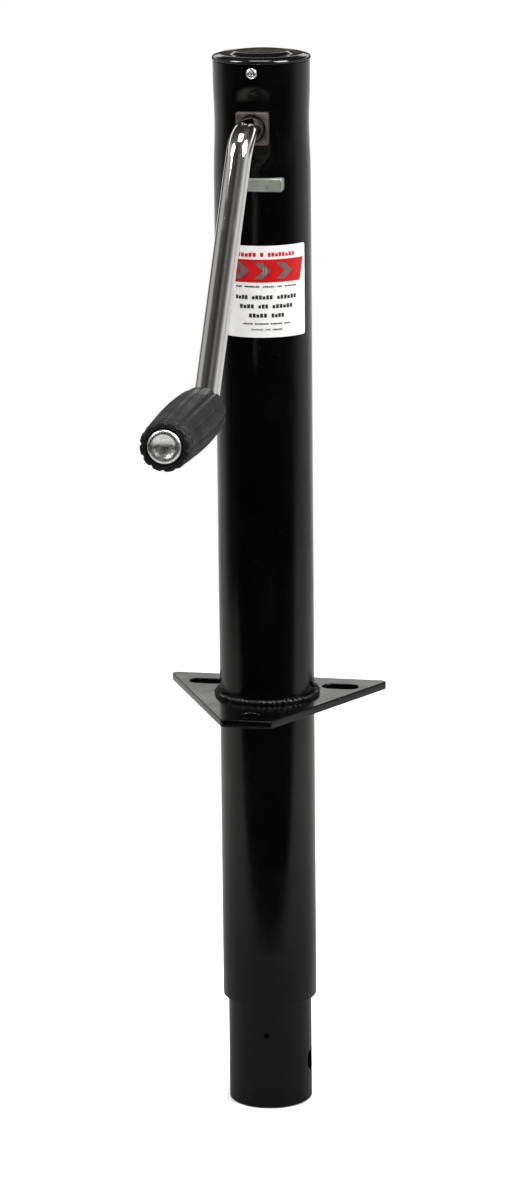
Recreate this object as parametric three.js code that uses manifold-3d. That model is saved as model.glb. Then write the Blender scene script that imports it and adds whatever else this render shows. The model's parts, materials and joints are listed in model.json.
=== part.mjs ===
// Side-wind trailer tongue jack with an A-frame bolt-on flange and 15 inches of travel.
// Millimetres, +Z up. The origin is on the tube axis, in the plane of the flange's underside,
// which is where the jack rests on the trailer tongue. The crank shaft points along -Y.
// The rest pose is the fully retracted jack.

import * as THREE from 'three';
import { mergeVertices } from 'three/addons/utils/BufferGeometryUtils.js';
import Module from 'manifold-3d';

const wasm = await Module();
wasm.setup();

// ---- driving dimensions ----

const INCH = 25.4;
const ROUND_SIDES = 48;
const MEDIUM_SIDES = 24;
const SMALL_SIDES = 16;

// outer tube and cap
const OUTER_RADIUS = 2.25 * INCH / 2;
const OUTER_WALL = 2.775;
const OUTER_BORE = OUTER_RADIUS - OUTER_WALL;
const OUTER_TOP = 388;
const OUTER_BOTTOM = -186;
const EDGE_BREAK = 0.4;
const CAP_RADIUS = 29.1;
const CAP_SKIRT_RADIUS = 25.2;
const CAP_SKIRT_DEPTH = 9;
const CAP_SHEET = 1.6;
const CAP_RISE = 5;
const CAP_DISC_RADIUS = 15.6;
const CAP_SHOULDER_DROP = 1.6;
const RIVET_Z = OUTER_TOP - 5;
const RIVET_SHANK = 1.9;
const RIVET_HEAD = 3.4;
const RIVET_HEAD_HEIGHT = 1.35;
const RIVET_GRIP = 6.4;

// pressed pads in the outer tube, front and rear, that seat the crank bushings
const SHAFT_Z = 351;
const PAD_PLANE = 25.6;
const PAD_RADIUS = 15;
const PAD_BLEND = 25;
const WAIST_DEPTH = 0.8;
const WAIST_REACH = 18;

// inner tube, the ram
const TRAVEL = 15 * INCH;
const RAM_OUTER = 2 * INCH / 2;
const RAM_BORE = 22.2;
const RAM_TOP = 296;
const RAM_BOTTOM = -252.6;
const FOOT_PIN_Z = RAM_BOTTOM + 24.9;
const FOOT_PIN_RADIUS = 6.75;
const PAINT_HOLE_Z = RAM_BOTTOM + 46.6;
const PAINT_HOLE_RADIUS = 1.7;
const PAINT_HOLE_TURN = THREE.MathUtils.degToRad(6);

// mounting flange
const FLANGE_THICK = 3 / 16 * INCH;
const FLANGE_HOLE = OUTER_RADIUS + 0.22;
const FLANGE_REAR_Y = 39.4;
const FLANGE_REAR_X = 68.6;
const FLANGE_REAR_ROUND = 3.3;
const FLANGE_NOSE_Y = -65.8;
const FLANGE_NOSE_X = 14.8;
const FLANGE_NOSE_ROUND = 4;
const BOLT_RADIUS = 7 / 16 * INCH / 2;
const SLOT_X = 3.25 * INCH / 2;
const SLOT_Y = 20.2;
const SLOT_LENGTH = 7 / 8 * INCH;
const NOSE_BOLT_Y = -52.8;
const WELD_LEG = 3.4;

// support bar that carries the screw's thrust
const BAR_WIDTH = 1.375 * INCH;
const BAR_THICK = 5 / 16 * INCH;
const BAR_LENGTH = 58;
const BAR_Z = 318.1;
const BAR_TOP = BAR_Z + BAR_THICK / 2;
const BAR_BOTTOM = BAR_Z - BAR_THICK / 2;
const BAR_ROUND = 1.5;
const BAR_BEVEL = 0.8;
const BAR_HOLE = 8.4;

// lead screw and nut: right-hand trapezoidal thread, 48 turns for the whole travel
const SCREW_TURNS = 48;
const LEAD = TRAVEL / SCREW_TURNS;
const THREAD_SIDES = 8;
const THREAD_ROOT = 8.1;
const THREAD_CREST = 11.1;
const THREAD_BASE_HALF = 2.1;
const THREAD_CREST_HALF = 1.3;
const THREAD_FIT = 0.85;
const THREAD_FLANK_FIT = 0.4;
const THREAD_TOP = 300.2;
const THREAD_BOTTOM = -118;
const COLLAR_RADIUS = 11.8;
const COLLAR_TOP = 306.14;
const JOURNAL_RADIUS = 7.9;
const GEAR_SEAT_RADIUS = 7;
const GEAR_SEAT_Z = 325;
const SCREW_TOP = 341;
const PILOT_RADIUS = 7.6;
const SCREW_BOTTOM = -134;
const STOP_PIN_Z = -128;
const STOP_PIN_RADIUS = 2;
const STOP_PIN_HALF = 11;
const STOP_WASHER_TOP = -121.5;
const STOP_WASHER_THICK = 3;
const STOP_WASHER_RADIUS = 15;
const GEAR_WASHER_RADIUS = 14;
const NUT_RADIUS = 21.9;
const NUT_HEIGHT = 32;
const NUT_PIN_RADIUS = 3;
const NUT_PIN_INNER = 17;
const NUT_PIN_Z = RAM_TOP - NUT_HEIGHT / 2;
const PIN_CLEARANCE = 0.2;

// thrust bearing between the screw collar and the support bar
const BALL_COUNT = 8;
const BALL_RADIUS = 2;
const BALL_CIRCLE = 11.7;
const BALL_Z = 310.24;
const RACE_BORE = 8.4;
const RACE_RADIUS = 15.4;
const RACE_GAP = 1.8;
const RACE_THICK = 1.8;
const GROOVE_DEPTH = 0.5;

// bevel gears, a 3-4-5 pair: 12 teeth on the crank shaft, 16 teeth on the screw
const MODULE = 2.4;
const PINION_TEETH = 12;
const GEAR_TEETH = 16;
const PINION_PITCH = MODULE * PINION_TEETH / 2;
const GEAR_PITCH = MODULE * GEAR_TEETH / 2;
const SMALL_END = 0.7;
const ADDENDUM = 0.8 * MODULE;
const DEDENDUM = 1.2 * MODULE;
const TOOTH_SINK = 0.5;
const BACKLASH = 0.65;
const FLANK = THREE.MathUtils.degToRad(22);
const GEAR_HUB_RADIUS = 12;
const GEAR_HUB_DROP = 18.9;
const GEAR_RIM_RADIUS = 17;
const GEAR_PIN_RADIUS = 2.4;
const GEAR_PIN_Z = 328.6;
const PINION_HUB_RADIUS = 10.5;
const PINION_HUB_END = 22.3;
const PINION_PIN_RADIUS = 1.6;
const PINION_PIN_Y = 18.9;
const PINION_PIN_HALF = 9.8;

// crank: the shaft, a leaning arm and the grip spindle are one bent rod
const ROD_RADIUS = 7.5;
const ROD_REAR_Y = 31.5;
const ARM_TOP_OUT = 59;
const ARM_FOOT_OUT = 106;
const ARM_DROP = 150.7;
const ROD_END_OUT = 212;
const TOP_BEND = 18;
const FOOT_BEND = 12;
const BEND_STEPS = 6;
const CRANK_REST_TURN = THREE.MathUtils.degToRad(5);
const BUSHING_SIZE = 3 / 4 * INCH;
const BUSHING_INNER_Y = 22.9;
const BUSHING_OUTER_Y = 30.2;
const BUSHING_BORE = 7.9;
const BUSHING_RECESS = 8.9;
const BUSHING_RECESS_DEPTH = 1.2;
const BUSHING_FIT = 0.2;

// grip
const GRIP_START = 116;
const GRIP_END = 214;
const GRIP_BORE = 7.95;
const GRIP_LOBES = 12;
const GRIP_LOBE_HEIGHT = 0.5;
const GRIP_POCKET_RADIUS = 10.3;
const GRIP_POCKET_DEPTH = 4.4;
const GRIP_RADII = [[2, 14.4], [14, 15.2], [36, 15.6], [58, 15.3], [80, 14.5], [94, 13.9]];
const GRIP_END_ROUND = 0.8;
const GRIP_CAP_RADIUS = GRIP_POCKET_RADIUS - 0.4;
const GRIP_CAP_DISH = 11.3;
const GRIP_CAP_HEIGHT = 3.1;

// label
const LABEL_BOTTOM = 228;
const LABEL_HEIGHT = 54.3;
const LABEL_INNER = OUTER_RADIUS + 0.09;
const LABEL_THICK = 0.22;
const LABEL_SPAN = THREE.MathUtils.degToRad(106);
const LABEL_TURN = THREE.MathUtils.degToRad(15.5);

const FINISHES = {
  blackPaint: { color: 0x111214, roughness: 0.32, metalness: 0.1 },
  capPaint: { color: 0x0c0c0e, roughness: 0.18, metalness: 0.15 },
  chrome: { color: 0xcdd0d2, roughness: 0.12, metalness: 1 },
  zinc: { color: 0xb9c0b4, roughness: 0.38, metalness: 0.85 },
  rawSteel: { color: 0x8b8178, roughness: 0.55, metalness: 0.8 },
  machinedSteel: { color: 0x9a9da0, roughness: 0.3, metalness: 0.95 },
  hardSteel: { color: 0xb8bbbf, roughness: 0.15, metalness: 1 },
  castNut: { color: 0x6e6a66, roughness: 0.6, metalness: 0.7 },
  grip: { color: 0x2a2b2d, roughness: 0.6, metalness: 0 },
  label: { color: 0xeceae5, roughness: 0.45, metalness: 0 },
};

// ---- solids ----

// Drops collapsed triangles and turns the faces out.
function closed(geometry) {
  const bare = new THREE.BufferGeometry();
  bare.setAttribute('position', geometry.getAttribute('position').clone());
  if (geometry.index) bare.setIndex(geometry.index.clone());
  const merged = mergeVertices(bare, 1e-4);
  const place = merged.getAttribute('position');
  const corner = [new THREE.Vector3(), new THREE.Vector3(), new THREE.Vector3()];
  const kept = [];
  let volume = 0;
  for (let i = 0; i < merged.index.count; i += 3) {
    const face = [0, 1, 2].map((k) => merged.index.getX(i + k));
    if (new Set(face).size < 3) continue;
    face.forEach((vertex, k) => corner[k].fromBufferAttribute(place, vertex));
    volume += corner[0].dot(corner[1].clone().cross(corner[2]));
    kept.push(face);
  }
  if (volume < 0) kept.forEach((face) => face.reverse());
  merged.setIndex(kept.flat());
  return merged;
}

function toSolid(geometry) {
  const mesh = closed(geometry);
  return new wasm.Manifold(new wasm.Mesh({
    numProp: 3,
    vertProperties: new Float32Array(mesh.getAttribute('position').array),
    triVerts: new Uint32Array(mesh.index.array),
  }));
}

function fromSolid(solid) {
  const mesh = solid.getMesh();
  const geometry = new THREE.BufferGeometry();
  geometry.setAttribute('position', new THREE.BufferAttribute(new Float32Array(mesh.vertProperties), 3));
  geometry.setIndex(new THREE.BufferAttribute(new Uint32Array(mesh.triVerts), 1));
  return geometry;
}

function cut(base, ...tools) {
  return fromSolid(tools.reduce((solid, tool) => solid.subtract(toSolid(tool)), toSolid(base)));
}

function join(base, ...others) {
  return fromSolid(others.reduce((solid, other) => solid.add(toSolid(other)), toSolid(base)));
}

function common(base, other) {
  return fromSolid(toSolid(base).intersect(toSolid(other)));
}

// ---- shapes ----

// A solid of revolution about Z. The profile is a list of [radius, z] that ends on the axis or closes.
function turned(profile, sides = ROUND_SIDES) {
  const points = profile.map(([radius, z]) => new THREE.Vector2(radius, z));
  const onAxis = profile[0][0] === 0 && profile.at(-1)[0] === 0;
  if (!onAxis) points.push(points[0].clone());
  return new THREE.LatheGeometry(points, sides).rotateX(Math.PI / 2);
}

function ringBetween(inner, outer, bottom, top, sides = ROUND_SIDES) {
  return turned([[inner, bottom], [outer, bottom], [outer, top], [inner, top]], sides);
}

function rodAlongX(radius, from, to, y, z) {
  const rod = new THREE.CylinderGeometry(radius, radius, to - from, SMALL_SIDES);
  return rod.rotateZ(Math.PI / 2).translate((from + to) / 2, y, z);
}

function crossPin(radius, half, y, z) {
  return rodAlongX(radius, -half, half, y, z);
}

// The hole for a cross pin of a given radius, right through a shaft along X.
function pinHole(radius, y, z) {
  return rodAlongX(radius + PIN_CLEARANCE, -OUTER_RADIUS, OUTER_RADIUS, y, z);
}

function rodAlongY(radius, from, to, x, z, sides = SMALL_SIDES) {
  return new THREE.CylinderGeometry(radius, radius, to - from, sides).translate(x, (from + to) / 2, z);
}

function rodAlongZ(radius, from, to, x = 0, y = 0, sides = SMALL_SIDES) {
  const rod = new THREE.CylinderGeometry(radius, radius, to - from, sides);
  return rod.rotateX(Math.PI / 2).translate(x, y, (from + to) / 2);
}

// A skin over rings with the same number of points: a loop of rings, or a stack with flat ends.
function skin(rings, looped) {
  const sides = rings[0].length;
  const points = rings.flat();
  const faces = [];
  const bands = looped ? rings.length : rings.length - 1;
  for (let i = 0; i < bands; i += 1) {
    const here = i * sides;
    const next = ((i + 1) % rings.length) * sides;
    for (let j = 0; j < sides; j += 1) {
      const k = (j + 1) % sides;
      faces.push(here + j, here + k, next + k, here + j, next + k, next + j);
    }
  }
  if (!looped) {
    const last = (rings.length - 1) * sides;
    for (let j = 1; j < sides - 1; j += 1) {
      faces.push(0, j + 1, j);
      faces.push(last, last + j, last + j + 1);
    }
  }
  const geometry = new THREE.BufferGeometry().setFromPoints(points);
  geometry.setIndex(faces);
  return closed(geometry);
}

// A closed outline whose corners [x, y, radius] are rounded by arcs.
function roundedOutline(corners) {
  const shape = new THREE.Shape();
  corners.forEach(([x, y, radius], i) => {
    const corner = new THREE.Vector2(x, y);
    const [beforeX, beforeY] = corners.at(i - 1);
    const [afterX, afterY] = corners[(i + 1) % corners.length];
    const back = new THREE.Vector2(beforeX, beforeY).sub(corner).normalize();
    const ahead = new THREE.Vector2(afterX, afterY).sub(corner).normalize();
    const half = Math.acos(back.dot(ahead)) / 2;
    const middle = back.clone().add(ahead).normalize();
    const centre = corner.clone().addScaledVector(middle, radius / Math.sin(half));
    const start = corner.clone().addScaledVector(back, radius / Math.tan(half)).sub(centre);
    const end = corner.clone().addScaledVector(ahead, radius / Math.tan(half)).sub(centre);
    const clockwise = back.cross(ahead) > 0;
    shape.absarc(centre.x, centre.y, radius, start.angle(), end.angle(), clockwise);
  });
  return shape;
}

function roundHole(x, y, radius, sides) {
  const points = [];
  for (let i = 0; i < sides; i += 1) {
    const angle = 2 * Math.PI * i / sides;
    points.push(new THREE.Vector2(x + radius * Math.cos(angle), y + radius * Math.sin(angle)));
  }
  return new THREE.Path(points);
}

function slotHole(x, y, length, radius) {
  const path = new THREE.Path();
  const reach = length / 2 - radius;
  path.absarc(x + reach, y, radius, -Math.PI / 2, Math.PI / 2, false);
  path.absarc(x - reach, y, radius, Math.PI / 2, 3 * Math.PI / 2, false);
  return path;
}

// ---- housing ----

// A point of the outer tube's wall: a slight waist at the shaft, and a flat pad front and rear.
function wallPoint(angle, z, radius) {
  const rise = z - SHAFT_Z;
  const waisted = radius - WAIST_DEPTH * Math.exp(-((rise / WAIST_REACH) ** 2));
  const x = waisted * Math.sin(angle);
  const depth = Math.abs(waisted * Math.cos(angle));
  const pad = Math.min(depth, PAD_PLANE - (OUTER_RADIUS - radius));
  const blend = THREE.MathUtils.smoothstep(Math.hypot(x, rise), PAD_RADIUS, PAD_BLEND);
  const pressed = THREE.MathUtils.lerp(pad, depth, blend);
  return new THREE.Vector3(x, -Math.sign(Math.cos(angle)) * pressed, z);
}

function wallRing(z, radius) {
  const points = [];
  for (let i = 0; i < ROUND_SIDES; i += 1) {
    points.push(wallPoint(2 * Math.PI * i / ROUND_SIDES, z, radius));
  }
  return points;
}

function outerTube() {
  const rows = (count) => {
    const reach = PAD_BLEND + 4;
    return Array.from({ length: count }, (_, i) => SHAFT_Z - reach + 2 * reach * i / (count - 1));
  };
  const outside = [
    wallRing(OUTER_BOTTOM, OUTER_RADIUS - EDGE_BREAK),
    wallRing(OUTER_BOTTOM + EDGE_BREAK, OUTER_RADIUS),
    ...rows(10).map((z) => wallRing(z, OUTER_RADIUS)),
    wallRing(OUTER_TOP, OUTER_RADIUS),
  ];
  const inside = [
    wallRing(OUTER_TOP, OUTER_BORE),
    ...rows(8).toReversed().map((z) => wallRing(z, OUTER_BORE)),
    wallRing(OUTER_BOTTOM, OUTER_BORE),
  ];
  const through = 3 * OUTER_RADIUS;
  const opening = BUSHING_SIZE + 2 * BUSHING_FIT;
  const bushingHole = new THREE.BoxGeometry(opening, through, opening).translate(0, 0, SHAFT_Z);
  const barSlot = new THREE.BoxGeometry(
    BAR_WIDTH + 4 * BUSHING_FIT,
    through,
    BAR_THICK + 4 * BUSHING_FIT,
  ).translate(0, 0, BAR_Z);
  const rivetHole = rodAlongY(RIVET_SHANK + PIN_CLEARANCE, -through, 0, 0, RIVET_Z);
  return cut(skin([...outside, ...inside], true), bushingHole, barSlot, rivetHole);
}

// A pressed cap: raised centre disc, rolled shoulder, rim on the tube's end and a skirt inside it.
function topCap() {
  const top = OUTER_TOP + CAP_RISE;
  const shoulder = top - CAP_SHOULDER_DROP;
  const inside = CAP_SKIRT_RADIUS - CAP_SHEET;
  const ceiling = shoulder - CAP_SHEET - 0.2;
  const cap = turned([
    [0, top],
    [CAP_DISC_RADIUS, top],
    [CAP_DISC_RADIUS + 1.6, top - 0.6],
    [CAP_DISC_RADIUS + 2.6, shoulder + 0.2],
    [CAP_RADIUS - 3.5, shoulder],
    [CAP_RADIUS - 1.3, shoulder - 0.5],
    [CAP_RADIUS - 0.3, shoulder - 1.4],
    [CAP_RADIUS, shoulder - 2.4],
    [CAP_RADIUS, OUTER_TOP + 0.2],
    [CAP_SKIRT_RADIUS, OUTER_TOP + 0.2],
    [CAP_SKIRT_RADIUS, OUTER_TOP - CAP_SKIRT_DEPTH],
    [inside, OUTER_TOP - CAP_SKIRT_DEPTH],
    [inside, ceiling - 0.6],
    [inside - 1.4, ceiling],
    [0, ceiling],
  ]);
  return cut(cap, rodAlongY(RIVET_SHANK + PIN_CLEARANCE, -CAP_RADIUS, 0, 0, RIVET_Z));
}

// A blind rivet along Y: a low domed head with the open mandrel hole, and its shank.
function capRivet() {
  const seat = OUTER_RADIUS + 0.3;
  const crown = seat + RIVET_HEAD_HEIGHT;
  const profile = [
    [0, seat + 0.3],
    [RIVET_SHANK - 1.1, seat + 0.3],
    [RIVET_SHANK - 0.9, crown],
    [RIVET_SHANK - 0.1, crown],
    [RIVET_HEAD - 0.6, crown - 0.45],
    [RIVET_HEAD, seat],
    [RIVET_SHANK, seat],
    [RIVET_SHANK, seat - RIVET_GRIP],
    [0, seat - RIVET_GRIP],
  ];
  return turned(profile, SMALL_SIDES).rotateX(Math.PI / 2).translate(0, 0, RIVET_Z);
}

function flangePlate() {
  const shape = roundedOutline([
    [-FLANGE_REAR_X, FLANGE_REAR_Y, FLANGE_REAR_ROUND],
    [-FLANGE_NOSE_X, FLANGE_NOSE_Y, FLANGE_NOSE_ROUND],
    [FLANGE_NOSE_X, FLANGE_NOSE_Y, FLANGE_NOSE_ROUND],
    [FLANGE_REAR_X, FLANGE_REAR_Y, FLANGE_REAR_ROUND],
  ]);
  shape.holes.push(roundHole(0, 0, FLANGE_HOLE, ROUND_SIDES));
  shape.holes.push(roundHole(0, NOSE_BOLT_Y, BOLT_RADIUS, SMALL_SIDES));
  for (const side of [-1, 1]) {
    shape.holes.push(slotHole(side * SLOT_X, SLOT_Y, SLOT_LENGTH, BOLT_RADIUS));
  }
  return new THREE.ExtrudeGeometry(shape, { depth: FLANGE_THICK, bevelEnabled: false, curveSegments: 7 });
}

function flangeWeld() {
  const inner = OUTER_RADIUS + 0.15;
  const foot = FLANGE_THICK + 0.15;
  return turned([
    [inner, foot],
    [inner + WELD_LEG, foot],
    [inner + 0.85 * WELD_LEG, foot + 0.4 * WELD_LEG],
    [inner + 0.45 * WELD_LEG, foot + 0.8 * WELD_LEG],
    [inner, foot + 1.05 * WELD_LEG],
  ]);
}

function supportBar() {
  const wide = BAR_WIDTH / 2 - BAR_BEVEL;
  const high = BAR_THICK / 2 - BAR_BEVEL;
  const section = roundedOutline([
    [-wide, -high, BAR_ROUND],
    [wide, -high, BAR_ROUND],
    [wide, high, BAR_ROUND],
    [-wide, high, BAR_ROUND],
  ]);
  const depth = BAR_LENGTH - 2 * BAR_BEVEL;
  const bar = new THREE.ExtrudeGeometry(section, {
    depth,
    bevelThickness: BAR_BEVEL,
    bevelSize: BAR_BEVEL,
    bevelSegments: 1,
    curveSegments: 2,
  });
  bar.translate(0, 0, -depth / 2).rotateX(Math.PI / 2).translate(0, 0, BAR_Z);
  return cut(bar, rodAlongZ(BAR_HOLE, BAR_BOTTOM - 1, BAR_TOP + 1, 0, 0, 2 * SMALL_SIDES));
}

// side is -1 for the front bushing and +1 for the rear one.
function crankBushing(side) {
  const depth = BUSHING_OUTER_Y - BUSHING_INNER_Y;
  const block = new THREE.BoxGeometry(BUSHING_SIZE, depth, BUSHING_SIZE);
  block.translate(0, side * (BUSHING_INNER_Y + depth / 2), SHAFT_Z);
  const recessFrom = BUSHING_OUTER_Y - BUSHING_RECESS_DEPTH;
  const [low, high] = [side * recessFrom, side * (BUSHING_OUTER_Y + 1)].sort((a, b) => a - b);
  const recess = rodAlongY(BUSHING_RECESS, low, high, 0, SHAFT_Z, 2 * SMALL_SIDES);
  const bore = rodAlongY(BUSHING_BORE, -OUTER_RADIUS * 2, OUTER_RADIUS * 2, 0, SHAFT_Z, 2 * SMALL_SIDES);
  return cut(block, bore, recess);
}

function label() {
  const middle = -Math.PI / 2 + LABEL_TURN;
  const from = middle - LABEL_SPAN / 2;
  const to = middle + LABEL_SPAN / 2;
  const shape = new THREE.Shape();
  shape.absarc(0, 0, LABEL_INNER + LABEL_THICK, from, to, false);
  shape.absarc(0, 0, LABEL_INNER, to, from, true);
  const settings = { depth: LABEL_HEIGHT, bevelEnabled: false, curveSegments: 20 };
  return new THREE.ExtrudeGeometry(shape, settings).translate(0, 0, LABEL_BOTTOM);
}

// ---- thrust bearing ----

// face is the z of the grooved side, back the z of the flat side.
function race(face, back, bore) {
  const bottomOfGroove = face + Math.sign(back - face) * GROOVE_DEPTH;
  return turned([
    [bore, face],
    [BALL_CIRCLE - 1.4, face],
    [BALL_CIRCLE - 0.7, bottomOfGroove],
    [BALL_CIRCLE + 0.7, bottomOfGroove],
    [BALL_CIRCLE + 1.4, face],
    [RACE_RADIUS, face],
    [RACE_RADIUS, back],
    [bore, back],
  ], MEDIUM_SIDES);
}

function ballPlace(index) {
  const angle = 2 * Math.PI * index / BALL_COUNT;
  return new THREE.Vector3(BALL_CIRCLE * Math.cos(angle), BALL_CIRCLE * Math.sin(angle), BALL_Z);
}

function ballCage() {
  const half = 0.5;
  const ring = ringBetween(RACE_BORE + 1, RACE_RADIUS - 1.2, BALL_Z - half, BALL_Z + half, MEDIUM_SIDES);
  const pockets = [];
  for (let i = 0; i < BALL_COUNT; i += 1) {
    const { x, y } = ballPlace(i);
    pockets.push(rodAlongZ(BALL_RADIUS + 0.2, BALL_Z - 1, BALL_Z + 1, x, y, 8));
  }
  return cut(ring, ...pockets);
}

// ---- screw, nut and ram ----

// A right-hand threaded core that runs past low and high by at least a turn.
function threadedCore(root, crest, baseHalf, crestHalf, low, high) {
  const turnsBelow = Math.ceil((THREAD_TOP - low) / LEAD) + 1;
  const turns = turnsBelow + Math.ceil((high - THREAD_TOP) / LEAD) + 2;
  const last = turns * THREAD_SIDES;
  const start = THREAD_TOP - turnsBelow * LEAD;
  const section = [[root, -baseHalf], [crest, -crestHalf], [crest, crestHalf], [root, baseHalf]];
  const points = [];
  for (let i = 0; i <= last; i += 1) {
    const angle = 2 * Math.PI * i / THREAD_SIDES;
    for (const [radius, offset] of section) {
      const z = start + LEAD * i / THREAD_SIDES + offset;
      points.push(new THREE.Vector3(radius * Math.cos(angle), radius * Math.sin(angle), z));
    }
  }
  const at = (i, k) => i * section.length + k;
  const faces = [];
  for (let i = 0; i < last; i += 1) {
    for (let k = 0; k < 3; k += 1) {
      faces.push(at(i, k), at(i + 1, k), at(i + 1, k + 1), at(i, k), at(i + 1, k + 1), at(i, k + 1));
    }
    if (i + THREAD_SIDES < last) {
      const above = i + THREAD_SIDES;
      faces.push(at(i, 3), at(i + 1, 3), at(above + 1, 0), at(i, 3), at(above + 1, 0), at(above, 0));
    }
  }
  const lowTip = points.push(new THREE.Vector3(0, 0, start - baseHalf - 2)) - 1;
  const highTip = points.push(new THREE.Vector3(0, 0, start + turns * LEAD + baseHalf + 2)) - 1;
  for (let i = 0; i < THREAD_SIDES; i += 1) {
    const top = last - THREAD_SIDES + i;
    faces.push(at(i + 1, 0), at(i, 0), lowTip);
    faces.push(at(top, 3), at(top + 1, 3), highTip);
  }
  const lowLoop = [at(THREAD_SIDES, 0), at(0, 3), at(0, 2), at(0, 1), at(0, 0)];
  const highLoop = [at(last, 3), at(last, 2), at(last, 1), at(last, 0), at(last - THREAD_SIDES, 3)];
  for (let k = 0; k < 4; k += 1) {
    faces.push(lowLoop[k + 1], lowLoop[k], lowTip);
    faces.push(highLoop[k], highLoop[k + 1], highTip);
  }
  const geometry = new THREE.BufferGeometry().setFromPoints(points);
  geometry.setIndex(faces);
  return geometry;
}

function leadScrew() {
  const core = threadedCore(
    THREAD_ROOT, THREAD_CREST, THREAD_BASE_HALF, THREAD_CREST_HALF, THREAD_BOTTOM, THREAD_TOP,
  );
  const threaded = common(core, rodAlongZ(2 * THREAD_CREST, THREAD_BOTTOM, THREAD_TOP));
  const head = turned([
    [0, THREAD_TOP - 1],
    [THREAD_ROOT - 1, THREAD_TOP - 1],
    [COLLAR_RADIUS, THREAD_TOP],
    [COLLAR_RADIUS, COLLAR_TOP],
    [JOURNAL_RADIUS, COLLAR_TOP],
    [JOURNAL_RADIUS, GEAR_SEAT_Z],
    [GEAR_SEAT_RADIUS, GEAR_SEAT_Z],
    [GEAR_SEAT_RADIUS, SCREW_TOP - 1],
    [GEAR_SEAT_RADIUS - 1, SCREW_TOP],
    [0, SCREW_TOP],
  ], 2 * SMALL_SIDES);
  const pilot = turned([
    [0, SCREW_BOTTOM],
    [PILOT_RADIUS - 1, SCREW_BOTTOM],
    [PILOT_RADIUS, SCREW_BOTTOM + 1],
    [PILOT_RADIUS, THREAD_BOTTOM + 1],
    [0, THREAD_BOTTOM + 1],
  ], 2 * SMALL_SIDES);
  const gearPinHole = pinHole(GEAR_PIN_RADIUS, 0, GEAR_PIN_Z);
  const stopPinHole = pinHole(STOP_PIN_RADIUS, 0, STOP_PIN_Z);
  return cut(join(threaded, head, pilot), gearPinHole, stopPinHole);
}

function leadNut() {
  const bottom = RAM_TOP - NUT_HEIGHT;
  const body = rodAlongZ(NUT_RADIUS, bottom, RAM_TOP, 0, 0, ROUND_SIDES);
  const thread = threadedCore(
    THREAD_ROOT + THREAD_FIT,
    THREAD_CREST + 1.3 * THREAD_FIT,
    THREAD_BASE_HALF + THREAD_FLANK_FIT,
    THREAD_CREST_HALF + THREAD_FLANK_FIT,
    bottom,
    RAM_TOP,
  );
  return cut(body, thread, ...nutPinHoles());
}

function nutPinHoles() {
  const radius = NUT_PIN_RADIUS + PIN_CLEARANCE;
  const inner = NUT_PIN_INNER - 0.3;
  return [
    rodAlongX(radius, -2 * RAM_OUTER, -inner, 0, NUT_PIN_Z),
    rodAlongX(radius, inner, 2 * RAM_OUTER, 0, NUT_PIN_Z),
  ];
}

function nutPin(side) {
  const ends = [side * NUT_PIN_INNER, side * (RAM_OUTER - 0.2)].sort((a, b) => a - b);
  return rodAlongX(NUT_PIN_RADIUS, ends[0], ends[1], 0, NUT_PIN_Z);
}

function innerTube() {
  const tube = ringBetween(RAM_BORE, RAM_OUTER, RAM_BOTTOM, RAM_TOP);
  const footPin = rodAlongX(FOOT_PIN_RADIUS, -2 * RAM_OUTER, 2 * RAM_OUTER, 0, FOOT_PIN_Z);
  const paintHole = rodAlongY(PAINT_HOLE_RADIUS, -2 * RAM_OUTER, 0, 0, PAINT_HOLE_Z, 12);
  paintHole.rotateZ(PAINT_HOLE_TURN);
  return cut(tube, footPin, paintHole, ...nutPinHoles());
}

// ---- bevel gears ----

// A straight bevel gear about +Z with the cones' shared tip at the origin. pitch is its pitch radius,
// other the mating gear's, turn the angle of its first tooth, and back the rest of the blank's profile.
function bevelGear(teeth, pitch, other, turn, bore, back) {
  const slope = Math.atan2(pitch, other);
  const normal = [Math.cos(slope), -Math.sin(slope)];
  const atHeight = (height) => [pitch + height * normal[0], other + height * normal[1]];
  const [rootRadius, rootZ] = atHeight(-DEDENDUM);
  const blank = turned([
    [bore, SMALL_END * rootZ],
    [SMALL_END * rootRadius, SMALL_END * rootZ],
    [rootRadius, rootZ],
    ...back,
  ], 2 * teeth);
  const halfPitch = Math.PI * pitch / teeth / 2 - BACKLASH / 2;
  const tooth = bevelTooth(atHeight, halfPitch);
  const all = [];
  for (let i = 0; i < teeth; i += 1) {
    all.push(tooth.clone().rotateZ(turn + 2 * Math.PI * i / teeth));
  }
  return join(blank, ...all);
}

// One tapered tooth towards +X. atHeight gives [radius, z] at a height over the pitch cone.
function bevelTooth(atHeight, halfPitch) {
  const section = [-DEDENDUM - TOOTH_SINK, ADDENDUM].map((height) => {
    const [radius, z] = atHeight(height);
    return { radius, z, half: halfPitch - height * Math.tan(FLANK) };
  });
  const [low, high] = section;
  const ring = (scale) => [
    new THREE.Vector3(low.radius, -low.half, low.z).multiplyScalar(scale),
    new THREE.Vector3(low.radius, low.half, low.z).multiplyScalar(scale),
    new THREE.Vector3(high.radius, high.half, high.z).multiplyScalar(scale),
    new THREE.Vector3(high.radius, -high.half, high.z).multiplyScalar(scale),
  ];
  return skin([ring(SMALL_END), ring(1)], false);
}

// The 16-tooth gear on the screw: its cone tip is on the shaft, so it is built upside down.
function screwGear() {
  const hubEnd = SHAFT_Z - GEAR_SEAT_Z;
  const bore = GEAR_SEAT_RADIUS + 0.3;
  const gear = bevelGear(GEAR_TEETH, GEAR_PITCH, PINION_PITCH, -Math.PI / 2, bore, [
    [GEAR_RIM_RADIUS, GEAR_HUB_DROP - 0.6],
    [GEAR_HUB_RADIUS, GEAR_HUB_DROP],
    [GEAR_HUB_RADIUS, hubEnd],
    [bore, hubEnd],
  ]);
  gear.rotateX(Math.PI).translate(0, 0, SHAFT_Z);
  return cut(gear, pinHole(GEAR_PIN_RADIUS, 0, GEAR_PIN_Z));
}

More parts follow.
